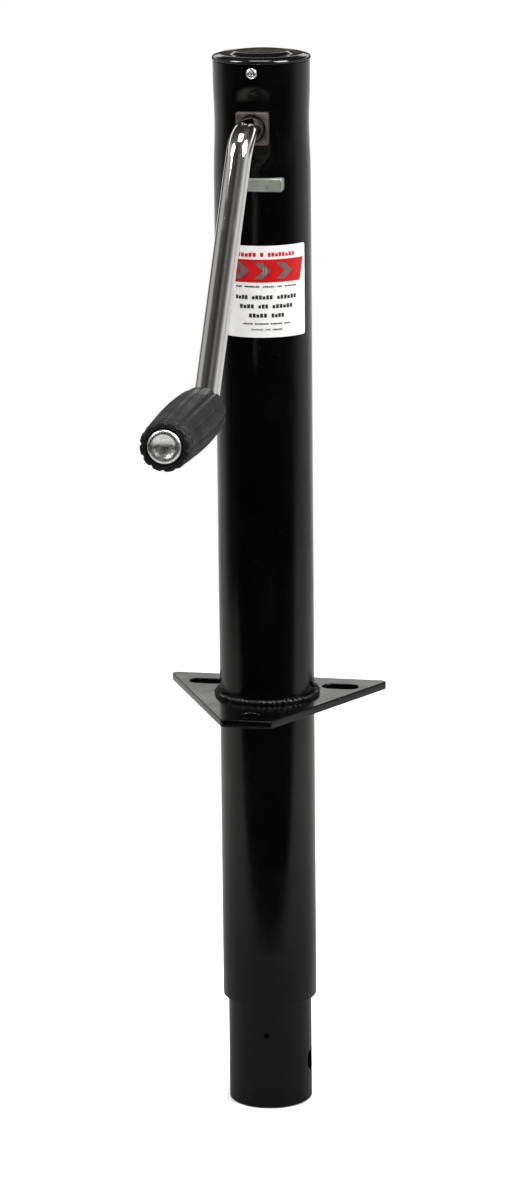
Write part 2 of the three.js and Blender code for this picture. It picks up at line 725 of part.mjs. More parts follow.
// The 12-tooth pinion, in the crank's own frame: shaft along Y at the origin, gap turned to the gear.
function pinionGear() {
  const halfTooth = Math.PI / PINION_TEETH;
  const bore = ROD_RADIUS + 0.3;
  const turn = Math.PI / 2 + halfTooth - CRANK_REST_TURN;
  const pinion = bevelGear(PINION_TEETH, PINION_PITCH, GEAR_PITCH, turn, bore, [
    [PINION_HUB_RADIUS, PINION_HUB_END],
    [bore, PINION_HUB_END],
  ]);
  pinion.rotateX(-Math.PI / 2);
  return cut(pinion, pinHole(PINION_PIN_RADIUS, PINION_PIN_Y, 0));
}

// ---- crank, in its own frame: shaft along Y at the origin, arm down -Z ----

// Points and directions along a path in the YZ plane whose corners are bent to the given radii.
function bentPath(corners) {
  const stations = [];
  corners.forEach(([y, z, radius], i) => {
    const corner = new THREE.Vector2(y, z);
    if (!radius) {
      const [otherY, otherZ] = corners[i === 0 ? 1 : i - 1];
      const sign = i === 0 ? 1 : -1;
      const along = new THREE.Vector2(otherY, otherZ).sub(corner).multiplyScalar(sign).normalize();
      stations.push({ centre: corner, along });
      return;
    }
    const into = corner.clone().sub(new THREE.Vector2(...corners[i - 1])).normalize();
    const out = new THREE.Vector2(...corners[i + 1]).sub(corner).normalize();
    const turn = Math.atan2(into.cross(out), into.dot(out));
    const start = corner.clone().addScaledVector(into, -radius * Math.tan(Math.abs(turn) / 2));
    const side = Math.sign(turn);
    const centre = start.clone().add(new THREE.Vector2(-into.y, into.x).multiplyScalar(side * radius));
    for (let step = 0; step <= BEND_STEPS; step += 1) {
      const angle = turn * step / BEND_STEPS;
      const along = into.clone().rotateAround(new THREE.Vector2(), angle);
      const spoke = new THREE.Vector2(along.y, -along.x).multiplyScalar(side * radius);
      stations.push({ centre: centre.clone().add(spoke), along });
    }
  });
  return stations;
}

function crankRod() {
  const stations = bentPath([
    [ROD_REAR_Y, 0, 0],
    [-ARM_TOP_OUT, 0, TOP_BEND],
    [-ARM_FOOT_OUT, -ARM_DROP, FOOT_BEND],
    [-ROD_END_OUT, -ARM_DROP, 0],
  ]);
  const rings = stations.map(({ centre, along }) => {
    const ring = [];
    for (let i = 0; i < SMALL_SIDES; i += 1) {
      const angle = 2 * Math.PI * i / SMALL_SIDES;
      const across = ROD_RADIUS * Math.sin(angle);
      ring.push(new THREE.Vector3(
        ROD_RADIUS * Math.cos(angle),
        centre.x - along.y * across,
        centre.y + along.x * across,
      ));
    }
    return ring;
  });
  return cut(skin(rings, false), pinHole(PINION_PIN_RADIUS, PINION_PIN_Y, 0));
}

// A barrel grip with long shallow flutes, bored through for the spindle, with a pocket for the end cap.
function grip() {
  const first = GRIP_RADII[0][1];
  const last = GRIP_RADII.at(-1)[1] - 0.2;
  const profile = [
    [GRIP_START, first - 1.4, 0],
    ...GRIP_RADII.map(([along, radius]) => [GRIP_START + along, radius, 1]),
    [GRIP_END - GRIP_END_ROUND, last, 1],
    [GRIP_END, last - GRIP_END_ROUND, 1],
    [GRIP_END, GRIP_POCKET_RADIUS, 0],
    [GRIP_END - GRIP_POCKET_DEPTH, GRIP_POCKET_RADIUS, 0],
    [GRIP_END - GRIP_POCKET_DEPTH, GRIP_BORE, 0],
    [GRIP_START, GRIP_BORE, 0],
  ];
  const rings = profile.map(([out, radius, fluted]) => {
    const ring = [];
    for (let i = 0; i < 4 * GRIP_LOBES; i += 1) {
      const angle = 2 * Math.PI * i / (4 * GRIP_LOBES);
      const lobed = radius + fluted * GRIP_LOBE_HEIGHT * Math.cos(GRIP_LOBES * angle);
      ring.push(new THREE.Vector3(lobed * Math.sin(angle), -out, lobed * Math.cos(angle) - ARM_DROP));
    }
    return ring;
  });
  return skin(rings, true);
}

// The chrome cap pressed on the spindle's end: a rounded rim about a dished middle.
function gripCap() {
  const floor = ROD_END_OUT + 0.3;
  const rim = GRIP_END - GRIP_POCKET_DEPTH + 0.4;
  const sheet = 0.8;
  const dish = [6.6, 5, 3.2, 1.6, 0].map((radius) => {
    const rise = GRIP_CAP_DISH - Math.sqrt(GRIP_CAP_DISH ** 2 - radius ** 2);
    return [radius, floor + sheet + rise];
  });
  const cap = turned([
    [0, floor],
    [ROD_RADIUS + 0.2, floor],
    [ROD_RADIUS + 0.2, rim],
    [GRIP_CAP_RADIUS, rim],
    [GRIP_CAP_RADIUS, floor + GRIP_CAP_HEIGHT - 2],
    [GRIP_CAP_RADIUS - 0.6, floor + GRIP_CAP_HEIGHT - 0.8],
    [GRIP_CAP_RADIUS - 1.5, floor + GRIP_CAP_HEIGHT - 0.2],
    [GRIP_CAP_RADIUS - 2.4, floor + GRIP_CAP_HEIGHT],
    ...dish,
  ], MEDIUM_SIDES);
  return cap.rotateX(Math.PI / 2).translate(0, 0, -ARM_DROP);
}

// ---- assembly ----

function piece(name, geometry, finish) {
  const material = new THREE.MeshStandardMaterial(FINISHES[finish]);
  const outward = closed(geometry);
  outward.computeVertexNormals();
  const mesh = new THREE.Mesh(outward, material);
  mesh.name = name;
  return mesh;
}

const housing = new THREE.Group();
housing.add(
  piece('outer_tube', outerTube(), 'blackPaint'),
  piece('top_cap', topCap(), 'capPaint'),
  piece('cap_rivet', capRivet(), 'zinc'),
  piece('flange_plate', flangePlate(), 'blackPaint'),
  piece('flange_weld', flangeWeld(), 'blackPaint'),
  piece('support_bar', supportBar(), 'zinc'),
  piece('crank_bushing_front', crankBushing(-1), 'rawSteel'),
  piece('crank_bushing_rear', crankBushing(1), 'rawSteel'),
  piece('race_upper', race(BALL_Z + RACE_GAP, BALL_Z + RACE_GAP + RACE_THICK, RACE_BORE), 'hardSteel'),
  piece('label', label(), 'label'),
);

const washerBottom = STOP_WASHER_TOP - STOP_WASHER_THICK;
const gearWasher = [JOURNAL_RADIUS + 0.4, GEAR_WASHER_RADIUS, BAR_TOP + 0.3, GEAR_SEAT_Z - 0.3];
const stopWasher = [PILOT_RADIUS + 0.3, STOP_WASHER_RADIUS, washerBottom, STOP_WASHER_TOP];
const screw = new THREE.Group();
screw.add(
  piece('lead_screw', leadScrew(), 'machinedSteel'),
  piece('screw_gear', screwGear(), 'rawSteel'),
  piece('gear_pin', crossPin(GEAR_PIN_RADIUS, GEAR_HUB_RADIUS, 0, GEAR_PIN_Z), 'hardSteel'),
  piece('gear_washer', ringBetween(...gearWasher, MEDIUM_SIDES), 'zinc'),
  piece('race_lower', race(BALL_Z - RACE_GAP, COLLAR_TOP + 0.3, RACE_BORE), 'hardSteel'),
  piece('stop_washer', ringBetween(...stopWasher, MEDIUM_SIDES), 'zinc'),
  piece('stop_pin', crossPin(STOP_PIN_RADIUS, STOP_PIN_HALF, 0, STOP_PIN_Z), 'hardSteel'),
);

const bearing = new THREE.Group();
bearing.add(piece('ball_cage', ballCage(), 'zinc'));
for (let i = 0; i < BALL_COUNT; i += 1) {
  const ball = piece(`ball_${i + 1}`, new THREE.SphereGeometry(BALL_RADIUS, 8, 6), 'hardSteel');
  ball.position.copy(ballPlace(i));
  bearing.add(ball);
}

const ram = new THREE.Group();
ram.add(
  piece('inner_tube', innerTube(), 'blackPaint'),
  piece('lead_nut', leadNut(), 'castNut'),
  piece('nut_pin_left', nutPin(-1), 'hardSteel'),
  piece('nut_pin_right', nutPin(1), 'hardSteel'),
);

const crank = new THREE.Group();
crank.position.z = SHAFT_Z;
crank.rotation.y = CRANK_REST_TURN;
crank.add(
  piece('crank_rod', crankRod(), 'chrome'),
  piece('pinion_gear', pinionGear(), 'rawSteel'),
  piece('pinion_pin', crossPin(PINION_PIN_RADIUS, PINION_PIN_HALF, PINION_PIN_Y, 0), 'hardSteel'),
  piece('grip', grip(), 'grip'),
  piece('grip_cap', gripCap(), 'chrome'),
);

const jack = new THREE.Group();
jack.name = 'trailer_tongue_jack';
jack.add(housing, screw, bearing, ram, crank);
export default jack;
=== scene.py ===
"""The looks of a side-wind trailer tongue jack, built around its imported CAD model.

Shapes are worked out in millimetres, in the model's own frame, and turned to metres when a mesh is made.
"""
import json
import math

import bmesh
import bpy
from mathutils import Matrix, Vector


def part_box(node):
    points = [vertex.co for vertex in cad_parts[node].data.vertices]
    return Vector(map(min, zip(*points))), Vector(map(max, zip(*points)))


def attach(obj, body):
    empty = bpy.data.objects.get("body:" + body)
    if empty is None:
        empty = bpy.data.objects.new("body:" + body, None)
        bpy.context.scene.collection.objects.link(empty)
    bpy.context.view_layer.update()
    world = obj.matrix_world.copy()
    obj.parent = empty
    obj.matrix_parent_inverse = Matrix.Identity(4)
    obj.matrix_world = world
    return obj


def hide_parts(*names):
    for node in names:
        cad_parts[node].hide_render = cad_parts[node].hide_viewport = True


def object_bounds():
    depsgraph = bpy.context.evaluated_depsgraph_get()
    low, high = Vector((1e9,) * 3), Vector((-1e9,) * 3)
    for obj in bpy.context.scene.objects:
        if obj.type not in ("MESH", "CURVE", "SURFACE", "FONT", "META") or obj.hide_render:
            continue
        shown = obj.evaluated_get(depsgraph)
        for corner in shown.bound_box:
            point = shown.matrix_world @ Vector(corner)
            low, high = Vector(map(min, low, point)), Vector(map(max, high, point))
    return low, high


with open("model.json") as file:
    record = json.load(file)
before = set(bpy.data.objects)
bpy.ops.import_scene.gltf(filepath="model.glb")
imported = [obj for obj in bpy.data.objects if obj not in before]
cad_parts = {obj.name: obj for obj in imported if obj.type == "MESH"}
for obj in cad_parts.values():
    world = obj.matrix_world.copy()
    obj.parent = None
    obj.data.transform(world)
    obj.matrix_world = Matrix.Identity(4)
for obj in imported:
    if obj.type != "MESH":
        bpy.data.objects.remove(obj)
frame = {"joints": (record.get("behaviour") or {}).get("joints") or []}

CAD_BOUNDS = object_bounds()
MM = 0.001
UP = Matrix.Identity(4)


def extent(node):
    """The lowest and highest corners of a CAD node, in millimetres."""
    low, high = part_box(node)
    return low / MM, high / MM


def joint(name):
    return next(j for j in frame["joints"] if j["name"] == name)


# ---- sizes: places and outer sizes come from the frame, details are stated here ----

TUBE_LOW, TUBE_HIGH = extent("outer_tube")
TUBE_RADIUS = TUBE_HIGH.x
TUBE_BORE = TUBE_RADIUS - 2.775
TUBE_SIDES = 192
SHAFT_Z = joint("crank_turn")["pos_m"][2] / MM
PAD_PLANE = 25.6
PAD_RADIUS = 15
PAD_BLEND = 25
WAIST_DEPTH = 0.8
WAIST_REACH = 18

RAM_LOW, RAM_HIGH = extent("inner_tube")
RAM_RADIUS = RAM_HIGH.x
RAM_BORE = RAM_RADIUS - 3.2
FOOT_PIN_Z = -227.7
FOOT_PIN_RADIUS = 6.75
PAINT_HOLE_Z = -206
PAINT_HOLE_RADIUS = 1.7
PAINT_HOLE_TURN = math.radians(6)

GRIP_AXIS = Vector(joint("grip_spin")["pos_m"]) / MM
CRANK_REST_TURN = math.atan2(-GRIP_AXIS.x, SHAFT_Z - GRIP_AXIS.z)
ARM_DROP = math.hypot(GRIP_AXIS.x, SHAFT_Z - GRIP_AXIS.z)
CRANK_PLACE = Matrix.Translation((0, 0, SHAFT_Z * MM)) @ Matrix.Rotation(CRANK_REST_TURN, 4, "Y")

ROD_RADIUS = 7.5
GRIP_LOBES = 12
GRIP_LOBE_HEIGHT = 0.5

NUT_PIN_HOLE = 3.2
WHEEL_PIN_Z = 328.6
WHEEL_PIN_HOLE = 2.6
STOP_PIN_Z = -128
STOP_PIN_HOLE = 2.2
PINION_PIN_REACH = 18.9
PINION_PIN_HOLE = 1.8
RIVET_HOLE = 2.1

LEAD = 7.9375
THREAD_STEPS = 28
THREAD_ROOT = 8.1
THREAD_CREST = 11.1
THREAD_TOP = 300.2
THREAD_BOTTOM = -118


# ---- meshes ----

def solid(name, points, faces, place=UP):
    """A closed mesh object from points in millimetres, with its faces turned out."""
    mesh = bpy.data.meshes.new(name)
    mesh.from_pydata([Vector(point) * MM for point in points], [], faces)
    work = bmesh.new()
    work.from_mesh(mesh)
    bmesh.ops.remove_doubles(work, verts=work.verts, dist=1e-7)
    bmesh.ops.recalc_face_normals(work, faces=work.faces)
    work.to_mesh(mesh)
    work.free()
    made = bpy.data.objects.new(name, mesh)
    bpy.context.scene.collection.objects.link(made)
    made.matrix_world = place
    return made


def skin(rings, looped):
    """Points and faces over rings of equal length: a loop of rings, or a stack with flat ends."""
    sides = len(rings[0])
    points = [point for ring in rings for point in ring]
    faces = []
    for i in range(len(rings) if looped else len(rings) - 1):
        here = i * sides
        after = (i + 1) % len(rings) * sides
        for j in range(sides):
            k = (j + 1) % sides
            faces.append((here + j, here + k, after + k, after + j))
    if not looped:
        faces.append(tuple(range(sides)))
        faces.append(tuple(range(len(points) - sides, len(points))))
    return points, faces


def lathe(profile, sides, looped=False):
    """Points and faces of a profile of (radius, z) turned about Z, from axis to axis or looped."""
    points = []
    rings = []
    for radius, z in profile:
        first = len(points)
        count = sides if radius > 1e-6 else 1
        for j in range(count):
            angle = 2 * math.pi * j / sides
            points.append((radius * math.cos(angle), radius * math.sin(angle), z))
        rings.append((first, count))
    faces = []
    pairs = list(zip(rings, rings[1:]))
    if looped:
        pairs.append((rings[-1], rings[0]))
    for (first, count), (other, other_count) in pairs:
        for j in range(sides):
            k = (j + 1) % sides
            corners = [first + j % count, first + k % count]
            corners += [other + k % other_count, other + j % other_count]
            faces.append(tuple(dict.fromkeys(corners)))
    return points, [face for face in faces if len(face) > 2]


def filleted(corners, steps=4, closed=True):
    """A 2-D outline whose corners (x, y, radius) are rounded by arcs."""
    outline = []
    for i, (x, y, radius) in enumerate(corners):
        here = Vector((x, y))
        if radius <= 0 or (not closed and i in (0, len(corners) - 1)):
            outline.append(here)
            continue
        back = (Vector(corners[i - 1][:2]) - here).normalized()
        ahead = (Vector(corners[(i + 1) % len(corners)][:2]) - here).normalized()
        half = back.angle(ahead) / 2
        centre = here + (back + ahead).normalized() * (radius / math.sin(half))
        spoke = here + back * (radius / math.tan(half)) - centre
        sweep = math.copysign(math.pi - 2 * half, -back.cross(ahead))
        for step in range(steps + 1):
            outline.append(centre + Matrix.Rotation(sweep * step / steps, 2) @ spoke)
    return outline


def circle(x, y, radius, sides=48):
    turns = [2 * math.pi * j / sides for j in range(sides)]
    return [Vector((x + radius * math.cos(turn), y + radius * math.sin(turn))) for turn in turns]


def rounded_box(width, height, radius, x=0, y=0):
    corners = [(-1, -1), (1, -1), (1, 1), (-1, 1)]
    return filleted([(x + i * width / 2, y + j * height / 2, radius) for i, j in corners])


def evaluated(made):
    """A new mesh of an object with every modifier applied."""
    bpy.context.view_layer.update()
    graph = bpy.context.evaluated_depsgraph_get()
    return bpy.data.meshes.new_from_object(made.evaluated_get(graph))


def plate(name, outlines, thickness, edge, place=UP):
    """A plate centred on Z = 0 from a closed outline and its holes, with rounded edges."""
    curve = bpy.data.curves.new(name + "_outline", "CURVE")
    curve.dimensions = "2D"
    curve.fill_mode = "BOTH"
    curve.bevel_depth = edge * MM
    curve.bevel_resolution = 2
    curve.extrude = (thickness / 2 - edge) * MM
    curve.offset = -edge * MM
    for outline in outlines:
        spline = curve.splines.new("POLY")
        spline.points.add(len(outline) - 1)
        for point, (x, y) in zip(spline.points, outline):
            point.co = (x * MM, y * MM, 0, 1)
        spline.use_cyclic_u = True
    drawn = bpy.data.objects.new(name + "_drawn", curve)
    bpy.context.scene.collection.objects.link(drawn)
    mesh = evaluated(drawn)
    bpy.data.objects.remove(drawn)
    points = [vertex.co / MM for vertex in mesh.vertices]
    faces = [tuple(face.vertices) for face in mesh.polygons]
    bpy.data.meshes.remove(mesh)
    return solid(name, points, faces, place)


def combine(made, operation, *others):
    """Cuts, joins or intersects an object with others, which are then removed."""
    for other in others:
        modifier = made.modifiers.new(operation, "BOOLEAN")
        modifier.operation = operation
        modifier.solver = "EXACT"
        modifier.object = other
    mesh = evaluated(made)
    made.modifiers.clear()
    made.data = mesh
    for other in others:
        bpy.data.objects.remove(other)
    return made


def rod(radius, low, high, place=UP, sides=48, chamfer=0):
    """A round bar along Z from low to high, moved by place, with chamfered ends."""
    profile = [
        (0, low),
        (radius - chamfer, low),
        (radius, low + chamfer),
        (radius, high - chamfer),
        (radius - chamfer, high),
        (0, high),
    ]
    return solid("rod", *lathe(profile, sides), place)


def along(axis, x=0, y=0, z=0):
    """A place whose Z points along +X or along -Y, at a point in millimetres."""
    turn = Matrix.Rotation(math.pi / 2, 4, "Y" if axis == "X" else "X")
    return Matrix.Translation(Vector((x, y, z)) * MM) @ turn


def cross_hole(radius, y=0, z=0):
    """A cutter along X for a pin hole right through a shaft."""
    return rod(radius, -20, 20, along("X", y=y, z=z), 24 if radius < 2 else 32)


def settle(made):
    """Moves an object's place into its mesh."""
    bpy.context.view_layer.update()
    made.data.transform(made.matrix_world)
    made.matrix_world = UP
    return made


def keep_flat(mesh):
    """Gives each broad flat side its own normal, so the rounds beside it take the whole turn."""
    shares = {}
    for face in mesh.polygons:
        key = tuple(round(part, 3) for part in face.normal)
        shares[key] = shares.get(key, 0) + face.area
    broad = 0.06 * sum(shares.values())
    flats = [Vector(key).normalized() for key, area in shares.items() if area > broad]
    at = {}
    for face in mesh.polygons:
        for flat in flats:
            if flat.dot(face.normal) > 0.9999:
                for corner in face.vertices:
                    at.setdefault(corner, []).append(flat)
    normals = [corner.vector.copy() for corner in mesh.corner_normals]
    for face in mesh.polygons:
        for loop in face.loop_indices:
            for flat in at.get(mesh.loops[loop].vertex_index, ()):
                if flat.dot(face.normal) > 0.8:
                    normals[loop] = flat
    mesh.normals_split_custom_set(normals)


def finish(made, name, body, material, replaced, sharp=35):
    """Names, shades and dresses a piece, and ties it to the frame."""
    made.name = name
    mesh = made.data
    mesh.name = name
    mesh.materials.clear()
    mesh.materials.append(material)
    for face in mesh.polygons:
        face.use_smooth = True
        face.material_index = 0
    mesh.set_sharp_from_angle(angle=math.radians(sharp))
    keep_flat(mesh)
    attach(made, body)
    if replaced:
        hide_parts(replaced)
    return made


# ---- materials ----

class Patterns:
    """Short calls that add nodes to a node tree."""

    def __init__(self, tree):
        self.tree = tree

    def node(self, kind, **inputs):
        made = self.tree.nodes.new(kind)
        for name, value in inputs.items():
            self.feed(made.inputs[name.replace("_", " ")], value)
        return made

    def feed(self, socket, value):
        if isinstance(value, bpy.types.NodeSocket):
            self.tree.links.new(value, socket)
        else:
            socket.default_value = value

    def spread(self, value, from_low, from_high, to_low, to_high):
        made = self.tree.nodes.new("ShaderNodeMapRange")
        for socket, number in zip(made.inputs, (value, from_low, from_high, to_low, to_high)):
            self.feed(socket, number)
        return made.outputs["Result"]

    def ramp(self, value, *stops):
        made = self.node("ShaderNodeValToRGB", Fac=value)
        ends = made.color_ramp.elements
        for element, (position, colour) in zip(ends, (stops[0], stops[-1])):
            element.position = position
            element.color = (*colour, 1)
        for position, colour in stops[1:-1]:
            ends.new(position).color = (*colour, 1)
        return made.outputs["Color"]

    def mixed(self, share, one, other):
        made = self.tree.nodes.new("ShaderNodeMix")
        made.data_type = "RGBA"
        self.feed(made.inputs["Factor"], share)
        self.feed(made.inputs[6], one)
        self.feed(made.inputs[7], other)
        return made.outputs[2]


class Finish(Patterns):
    """A Principled material with short calls for the patterns that drive it."""

    def __init__(self, name, **sockets):
        self.material = bpy.data.materials.new(name)
        self.material.use_nodes = True
        super().__init__(self.material.node_tree)
        self.shader = next(n for n in self.tree.nodes if n.type == "BSDF_PRINCIPLED")
        for socket, value in sockets.items():
            self.shader.inputs[socket.replace("_", " ")].default_value = value
        self.place = self.node("ShaderNodeTexCoord").outputs["Object"]

    def noise(self, scale, detail=3.0, stretch=(1, 1, 1), distortion=0.0):
        place = self.node("ShaderNodeMapping", Vector=self.place, Scale=stretch).outputs["Vector"]
        pattern = {"Scale": scale, "Detail": detail, "Distortion": distortion}
        return self.node("ShaderNodeTexNoise", Vector=place, **pattern).outputs["Fac"]

    def cells(self, scale, stretch=(1, 1, 1)):
        place = self.node("ShaderNodeMapping", Vector=self.place, Scale=stretch).outputs["Vector"]
        return self.node("ShaderNodeTexVoronoi", Vector=place, Scale=scale).outputs["Distance"]

    def colour(self, value):
        self.feed(self.shader.inputs["Base Color"], value)

    def roughness(self, value):
        self.feed(self.shader.inputs["Roughness"], value)

    def bump(self, height, distance, strength=1.0):
        """Adds a bump of the given depth in millimetres over any bump before it."""
        made = self.node("ShaderNodeBump", Height=height, Distance=distance * MM, Strength=strength)
        before = self.shader.inputs["Normal"]
        if before.links:
            self.feed(made.inputs["Normal"], before.links[0].from_socket)
        self.feed(before, made.outputs["Normal"])


def black_enamel():
    """Sprayed black enamel: orange peel, soft smudges and a few specks of dust."""
    paint = Finish("black_enamel", IOR=1.36)
    tone = paint.ramp(paint.noise(9, 4), (0.35, (0.0003, 0.0004, 0.0004)), (0.7, (0.0008, 0.001, 0.0009)))
    dust = paint.spread(paint.noise(900, 2), 0.71, 0.78, 0, 0.5)
    paint.colour(paint.mixed(dust, tone, (0.035, 0.035, 0.033, 1)))
    smudge = paint.spread(paint.noise(28, 5, (1, 1, 0.45), 0.8), 0.35, 0.7, 0.15, 0.25)
    paint.roughness(smudge)
    paint.bump(paint.noise(330, 2), 0.012, 0.5)
    paint.bump(paint.noise(34, 1), 0.05, 0.5)
    return paint.material


def cap_gloss():
    """Smooth high-gloss black on the stamped cap."""
    paint = Finish("cap_gloss", IOR=1.5, Coat_Weight=0.25, Coat_Roughness=0.04)
    tone = paint.ramp(paint.noise(14, 4), (0.3, (0.0012, 0.0012, 0.0013)), (0.7, (0.003, 0.0029, 0.0029)))
    paint.colour(tone)
    paint.roughness(paint.spread(paint.noise(60, 4), 0.3, 0.7, 0.08, 0.18))
    paint.bump(paint.noise(260, 2), 0.004, 0.5)
    return paint.material


def chrome_plate():
    """Bright plate over a drawn rod: faint draw lines, haze and pin pricks."""
    plate_finish = Finish("chrome_plate", Metallic=1)
    haze = plate_finish.noise(22, 4, (1, 1, 0.3))
    tone = plate_finish.ramp(haze, (0.3, (0.70, 0.69, 0.67)), (0.7, (0.80, 0.805, 0.80)))
    pits = plate_finish.spread(plate_finish.noise(1400, 1), 0.76, 0.82, 0, 0.7)
    plate_finish.colour(plate_finish.mixed(pits, tone, (0.25, 0.23, 0.2, 1)))
    plate_finish.roughness(plate_finish.spread(plate_finish.noise(90, 4), 0.35, 0.7, 0.045, 0.13))
    plate_finish.bump(plate_finish.noise(240, 3, (1, 1, 0.06)), 0.004, 0.6)
    plate_finish.bump(plate_finish.noise(38, 1), 0.03, 0.4)
    return plate_finish.material


def zinc_plate():
    """Passivated zinc: pale with a green to straw tint, softly mottled."""
    zinc = Finish("zinc_plate", Metallic=0.75)
    tone = zinc.ramp(
        zinc.noise(120, 4, distortion=0.5),
        (0.25, (0.27, 0.31, 0.28)),
        (0.5, (0.38, 0.41, 0.36)),
        (0.8, (0.47, 0.47, 0.40)),
    )
    stain = zinc.spread(zinc.noise(420, 3), 0.62, 0.75, 0, 0.5)
    zinc.colour(zinc.mixed(stain, tone, (0.2, 0.2, 0.17, 1)))
    zinc.roughness(zinc.spread(zinc.noise(260, 4), 0.3, 0.7, 0.3, 0.5))
    zinc.bump(zinc.noise(700, 3, (1, 0.25, 1)), 0.02, 0.5)
    return zinc.material


def bright_aluminium():
    """Bright drawn metal of the rivet and the grip's end cap, with fine scuffs."""
    metal = Finish("bright_aluminium", Metallic=1)
    metal.colour(metal.ramp(metal.noise(500, 3), (0.3, (0.62, 0.63, 0.64)), (0.7, (0.84, 0.845, 0.85))))
    metal.roughness(metal.spread(metal.noise(900, 3), 0.3, 0.7, 0.2, 0.38))
    metal.bump(metal.noise(1600, 2), 0.01, 0.5)
    return metal.material


def sintered_steel():
    """Pressed and sintered steel with oil in its pores: brown grey, fine grain."""
    steel = Finish("sintered_steel", Metallic=0.85)
    tone = steel.ramp(
        steel.noise(210, 4),
        (0.3, (0.07, 0.055, 0.05)),
        (0.55, (0.14, 0.118, 0.112)),
        (0.8, (0.24, 0.21, 0.205)),
    )
    pores = steel.spread(steel.cells(1500), 0.05, 0.22, 0.75, 0)
    steel.colour(steel.mixed(pores, tone, (0.04, 0.032, 0.026, 1)))
    steel.roughness(steel.spread(steel.noise(340, 4), 0.3, 0.7, 0.38, 0.62))
    steel.bump(steel.noise(1500, 3), 0.02, 0.7)
    return steel.material


def rolled_steel():
    """Rolled screw thread under a thin film of grease."""
    steel = Finish("rolled_steel", Metallic=1)
    tone = steel.ramp(steel.noise(70, 4), (0.3, (0.30, 0.29, 0.27)), (0.7, (0.50, 0.49, 0.47)))
    grease = steel.spread(steel.noise(45, 4, (1, 1, 0.5), 0.6), 0.5, 0.65, 0, 0.6)
    steel.colour(steel.mixed(grease, tone, (0.20, 0.13, 0.06, 1)))
    steel.roughness(steel.spread(grease, 0, 0.6, 0.34, 0.12))
    steel.bump(steel.noise(900, 2, (1, 1, 0.15)), 0.01, 0.5)
    return steel.material


def ground_steel():
    """Hardened and ground steel: fine circular grinding marks."""
    steel = Finish("ground_steel", Metallic=1)
    steel.colour(steel.ramp(steel.noise(160, 3), (0.3, (0.50, 0.50, 0.51)), (0.7, (0.66, 0.66, 0.67))))
    steel.roughness(steel.spread(steel.noise(700, 2, (1, 1, 3)), 0.3, 0.7, 0.1, 0.24))
    steel.bump(steel.noise(1800, 2, (0.3, 0.3, 1)), 0.004, 0.5)
    return steel.material


def cast_iron():
    """As-cast iron: coarse sand skin and dull rust-brown spots."""
    iron = Finish("cast_iron", Metallic=0.6)
    tone = iron.ramp(iron.noise(130, 5), (0.3, (0.075, 0.07, 0.066)), (0.7, (0.17, 0.165, 0.16)))
    rust = iron.spread(iron.noise(55, 5), 0.6, 0.75, 0, 0.6)
    iron.colour(iron.mixed(rust, tone, (0.13, 0.055, 0.025, 1)))
    iron.roughness(iron.spread(iron.noise(200, 4), 0.3, 0.7, 0.5, 0.75))
    iron.bump(iron.noise(600, 4), 0.08, 0.7)
    return iron.material


def grip_plastic():
    """Moulded black plastic: fine grained skin, rubbed smoother in patches."""
    plastic = Finish("grip_plastic", IOR=1.33)
    tone = plastic.ramp(plastic.noise(40, 4), (0.3, (0.0025, 0.0025, 0.003)), (0.7, (0.006, 0.006, 0.0065)))
    lint = plastic.spread(plastic.noise(1100, 2), 0.7, 0.78, 0, 0.4)
    plastic.colour(plastic.mixed(lint, tone, (0.09, 0.088, 0.085, 1)))
    plastic.roughness(plastic.spread(plastic.noise(70, 4), 0.35, 0.7, 0.5, 0.66))
    plastic.bump(plastic.noise(850, 3), 0.03, 0.7)
    plastic.bump(plastic.cells(1300), 0.02, 0.5)
    return plastic.material


def printed_film(name, dark, light):
    """Printed vinyl film: slight mottle of the ink and a soft satin skin."""
    film = Finish(name, IOR=1.45)
    film.colour(film.ramp(film.noise(180, 4), (0.25, dark), (0.75, light)))
    film.roughness(film.spread(film.noise(90, 3), 0.3, 0.7, 0.32, 0.45))
    film.bump(film.noise(120, 2), 0.006, 0.5)
    return film.material


ENAMEL = black_enamel()
CAP_GLOSS = cap_gloss()
CHROME = chrome_plate()
ZINC = zinc_plate()
ALUMINIUM = bright_aluminium()
SINTERED = sintered_steel()
ROLLED = rolled_steel()
GROUND = ground_steel()
IRON = cast_iron()
PLASTIC = grip_plastic()
FILM = printed_film("label_film", (0.64, 0.635, 0.62), (0.72, 0.72, 0.71))
RED_INK = printed_film("red_ink", (0.36, 0.002, 0.003), (0.46, 0.004, 0.005))
BLACK_INK = printed_film("black_ink", (0.012, 0.012, 0.013), (0.03, 0.03, 0.031))
GREY_INK = printed_film("grey_ink", (0.085, 0.075, 0.075), (0.12, 0.11, 0.11))


# ---- housing ----

def wall_point(angle, z, radius):
    """A point of the outer tube's wall: a slight waist at the shaft, a flat pad front and rear."""
    rise = z - SHAFT_Z
    waisted = radius - WAIST_DEPTH * math.exp(-((rise / WAIST_REACH) ** 2))
    x = waisted * math.sin(angle)
    depth = abs(waisted * math.cos(angle))
    pad = min(depth, PAD_PLANE - (TUBE_RADIUS - radius))
    share = min(max((math.hypot(x, rise) - PAD_RADIUS) / (PAD_BLEND - PAD_RADIUS), 0), 1)
    blend = share * share * (3 - 2 * share)
    pressed = pad + (depth - pad) * blend
    return (x, -math.copysign(pressed, math.cos(angle)), z)


def wall_ring(z, radius):
    return [wall_point(2 * math.pi * (i + 0.5) / TUBE_SIDES, z, radius) for i in range(TUBE_SIDES)]


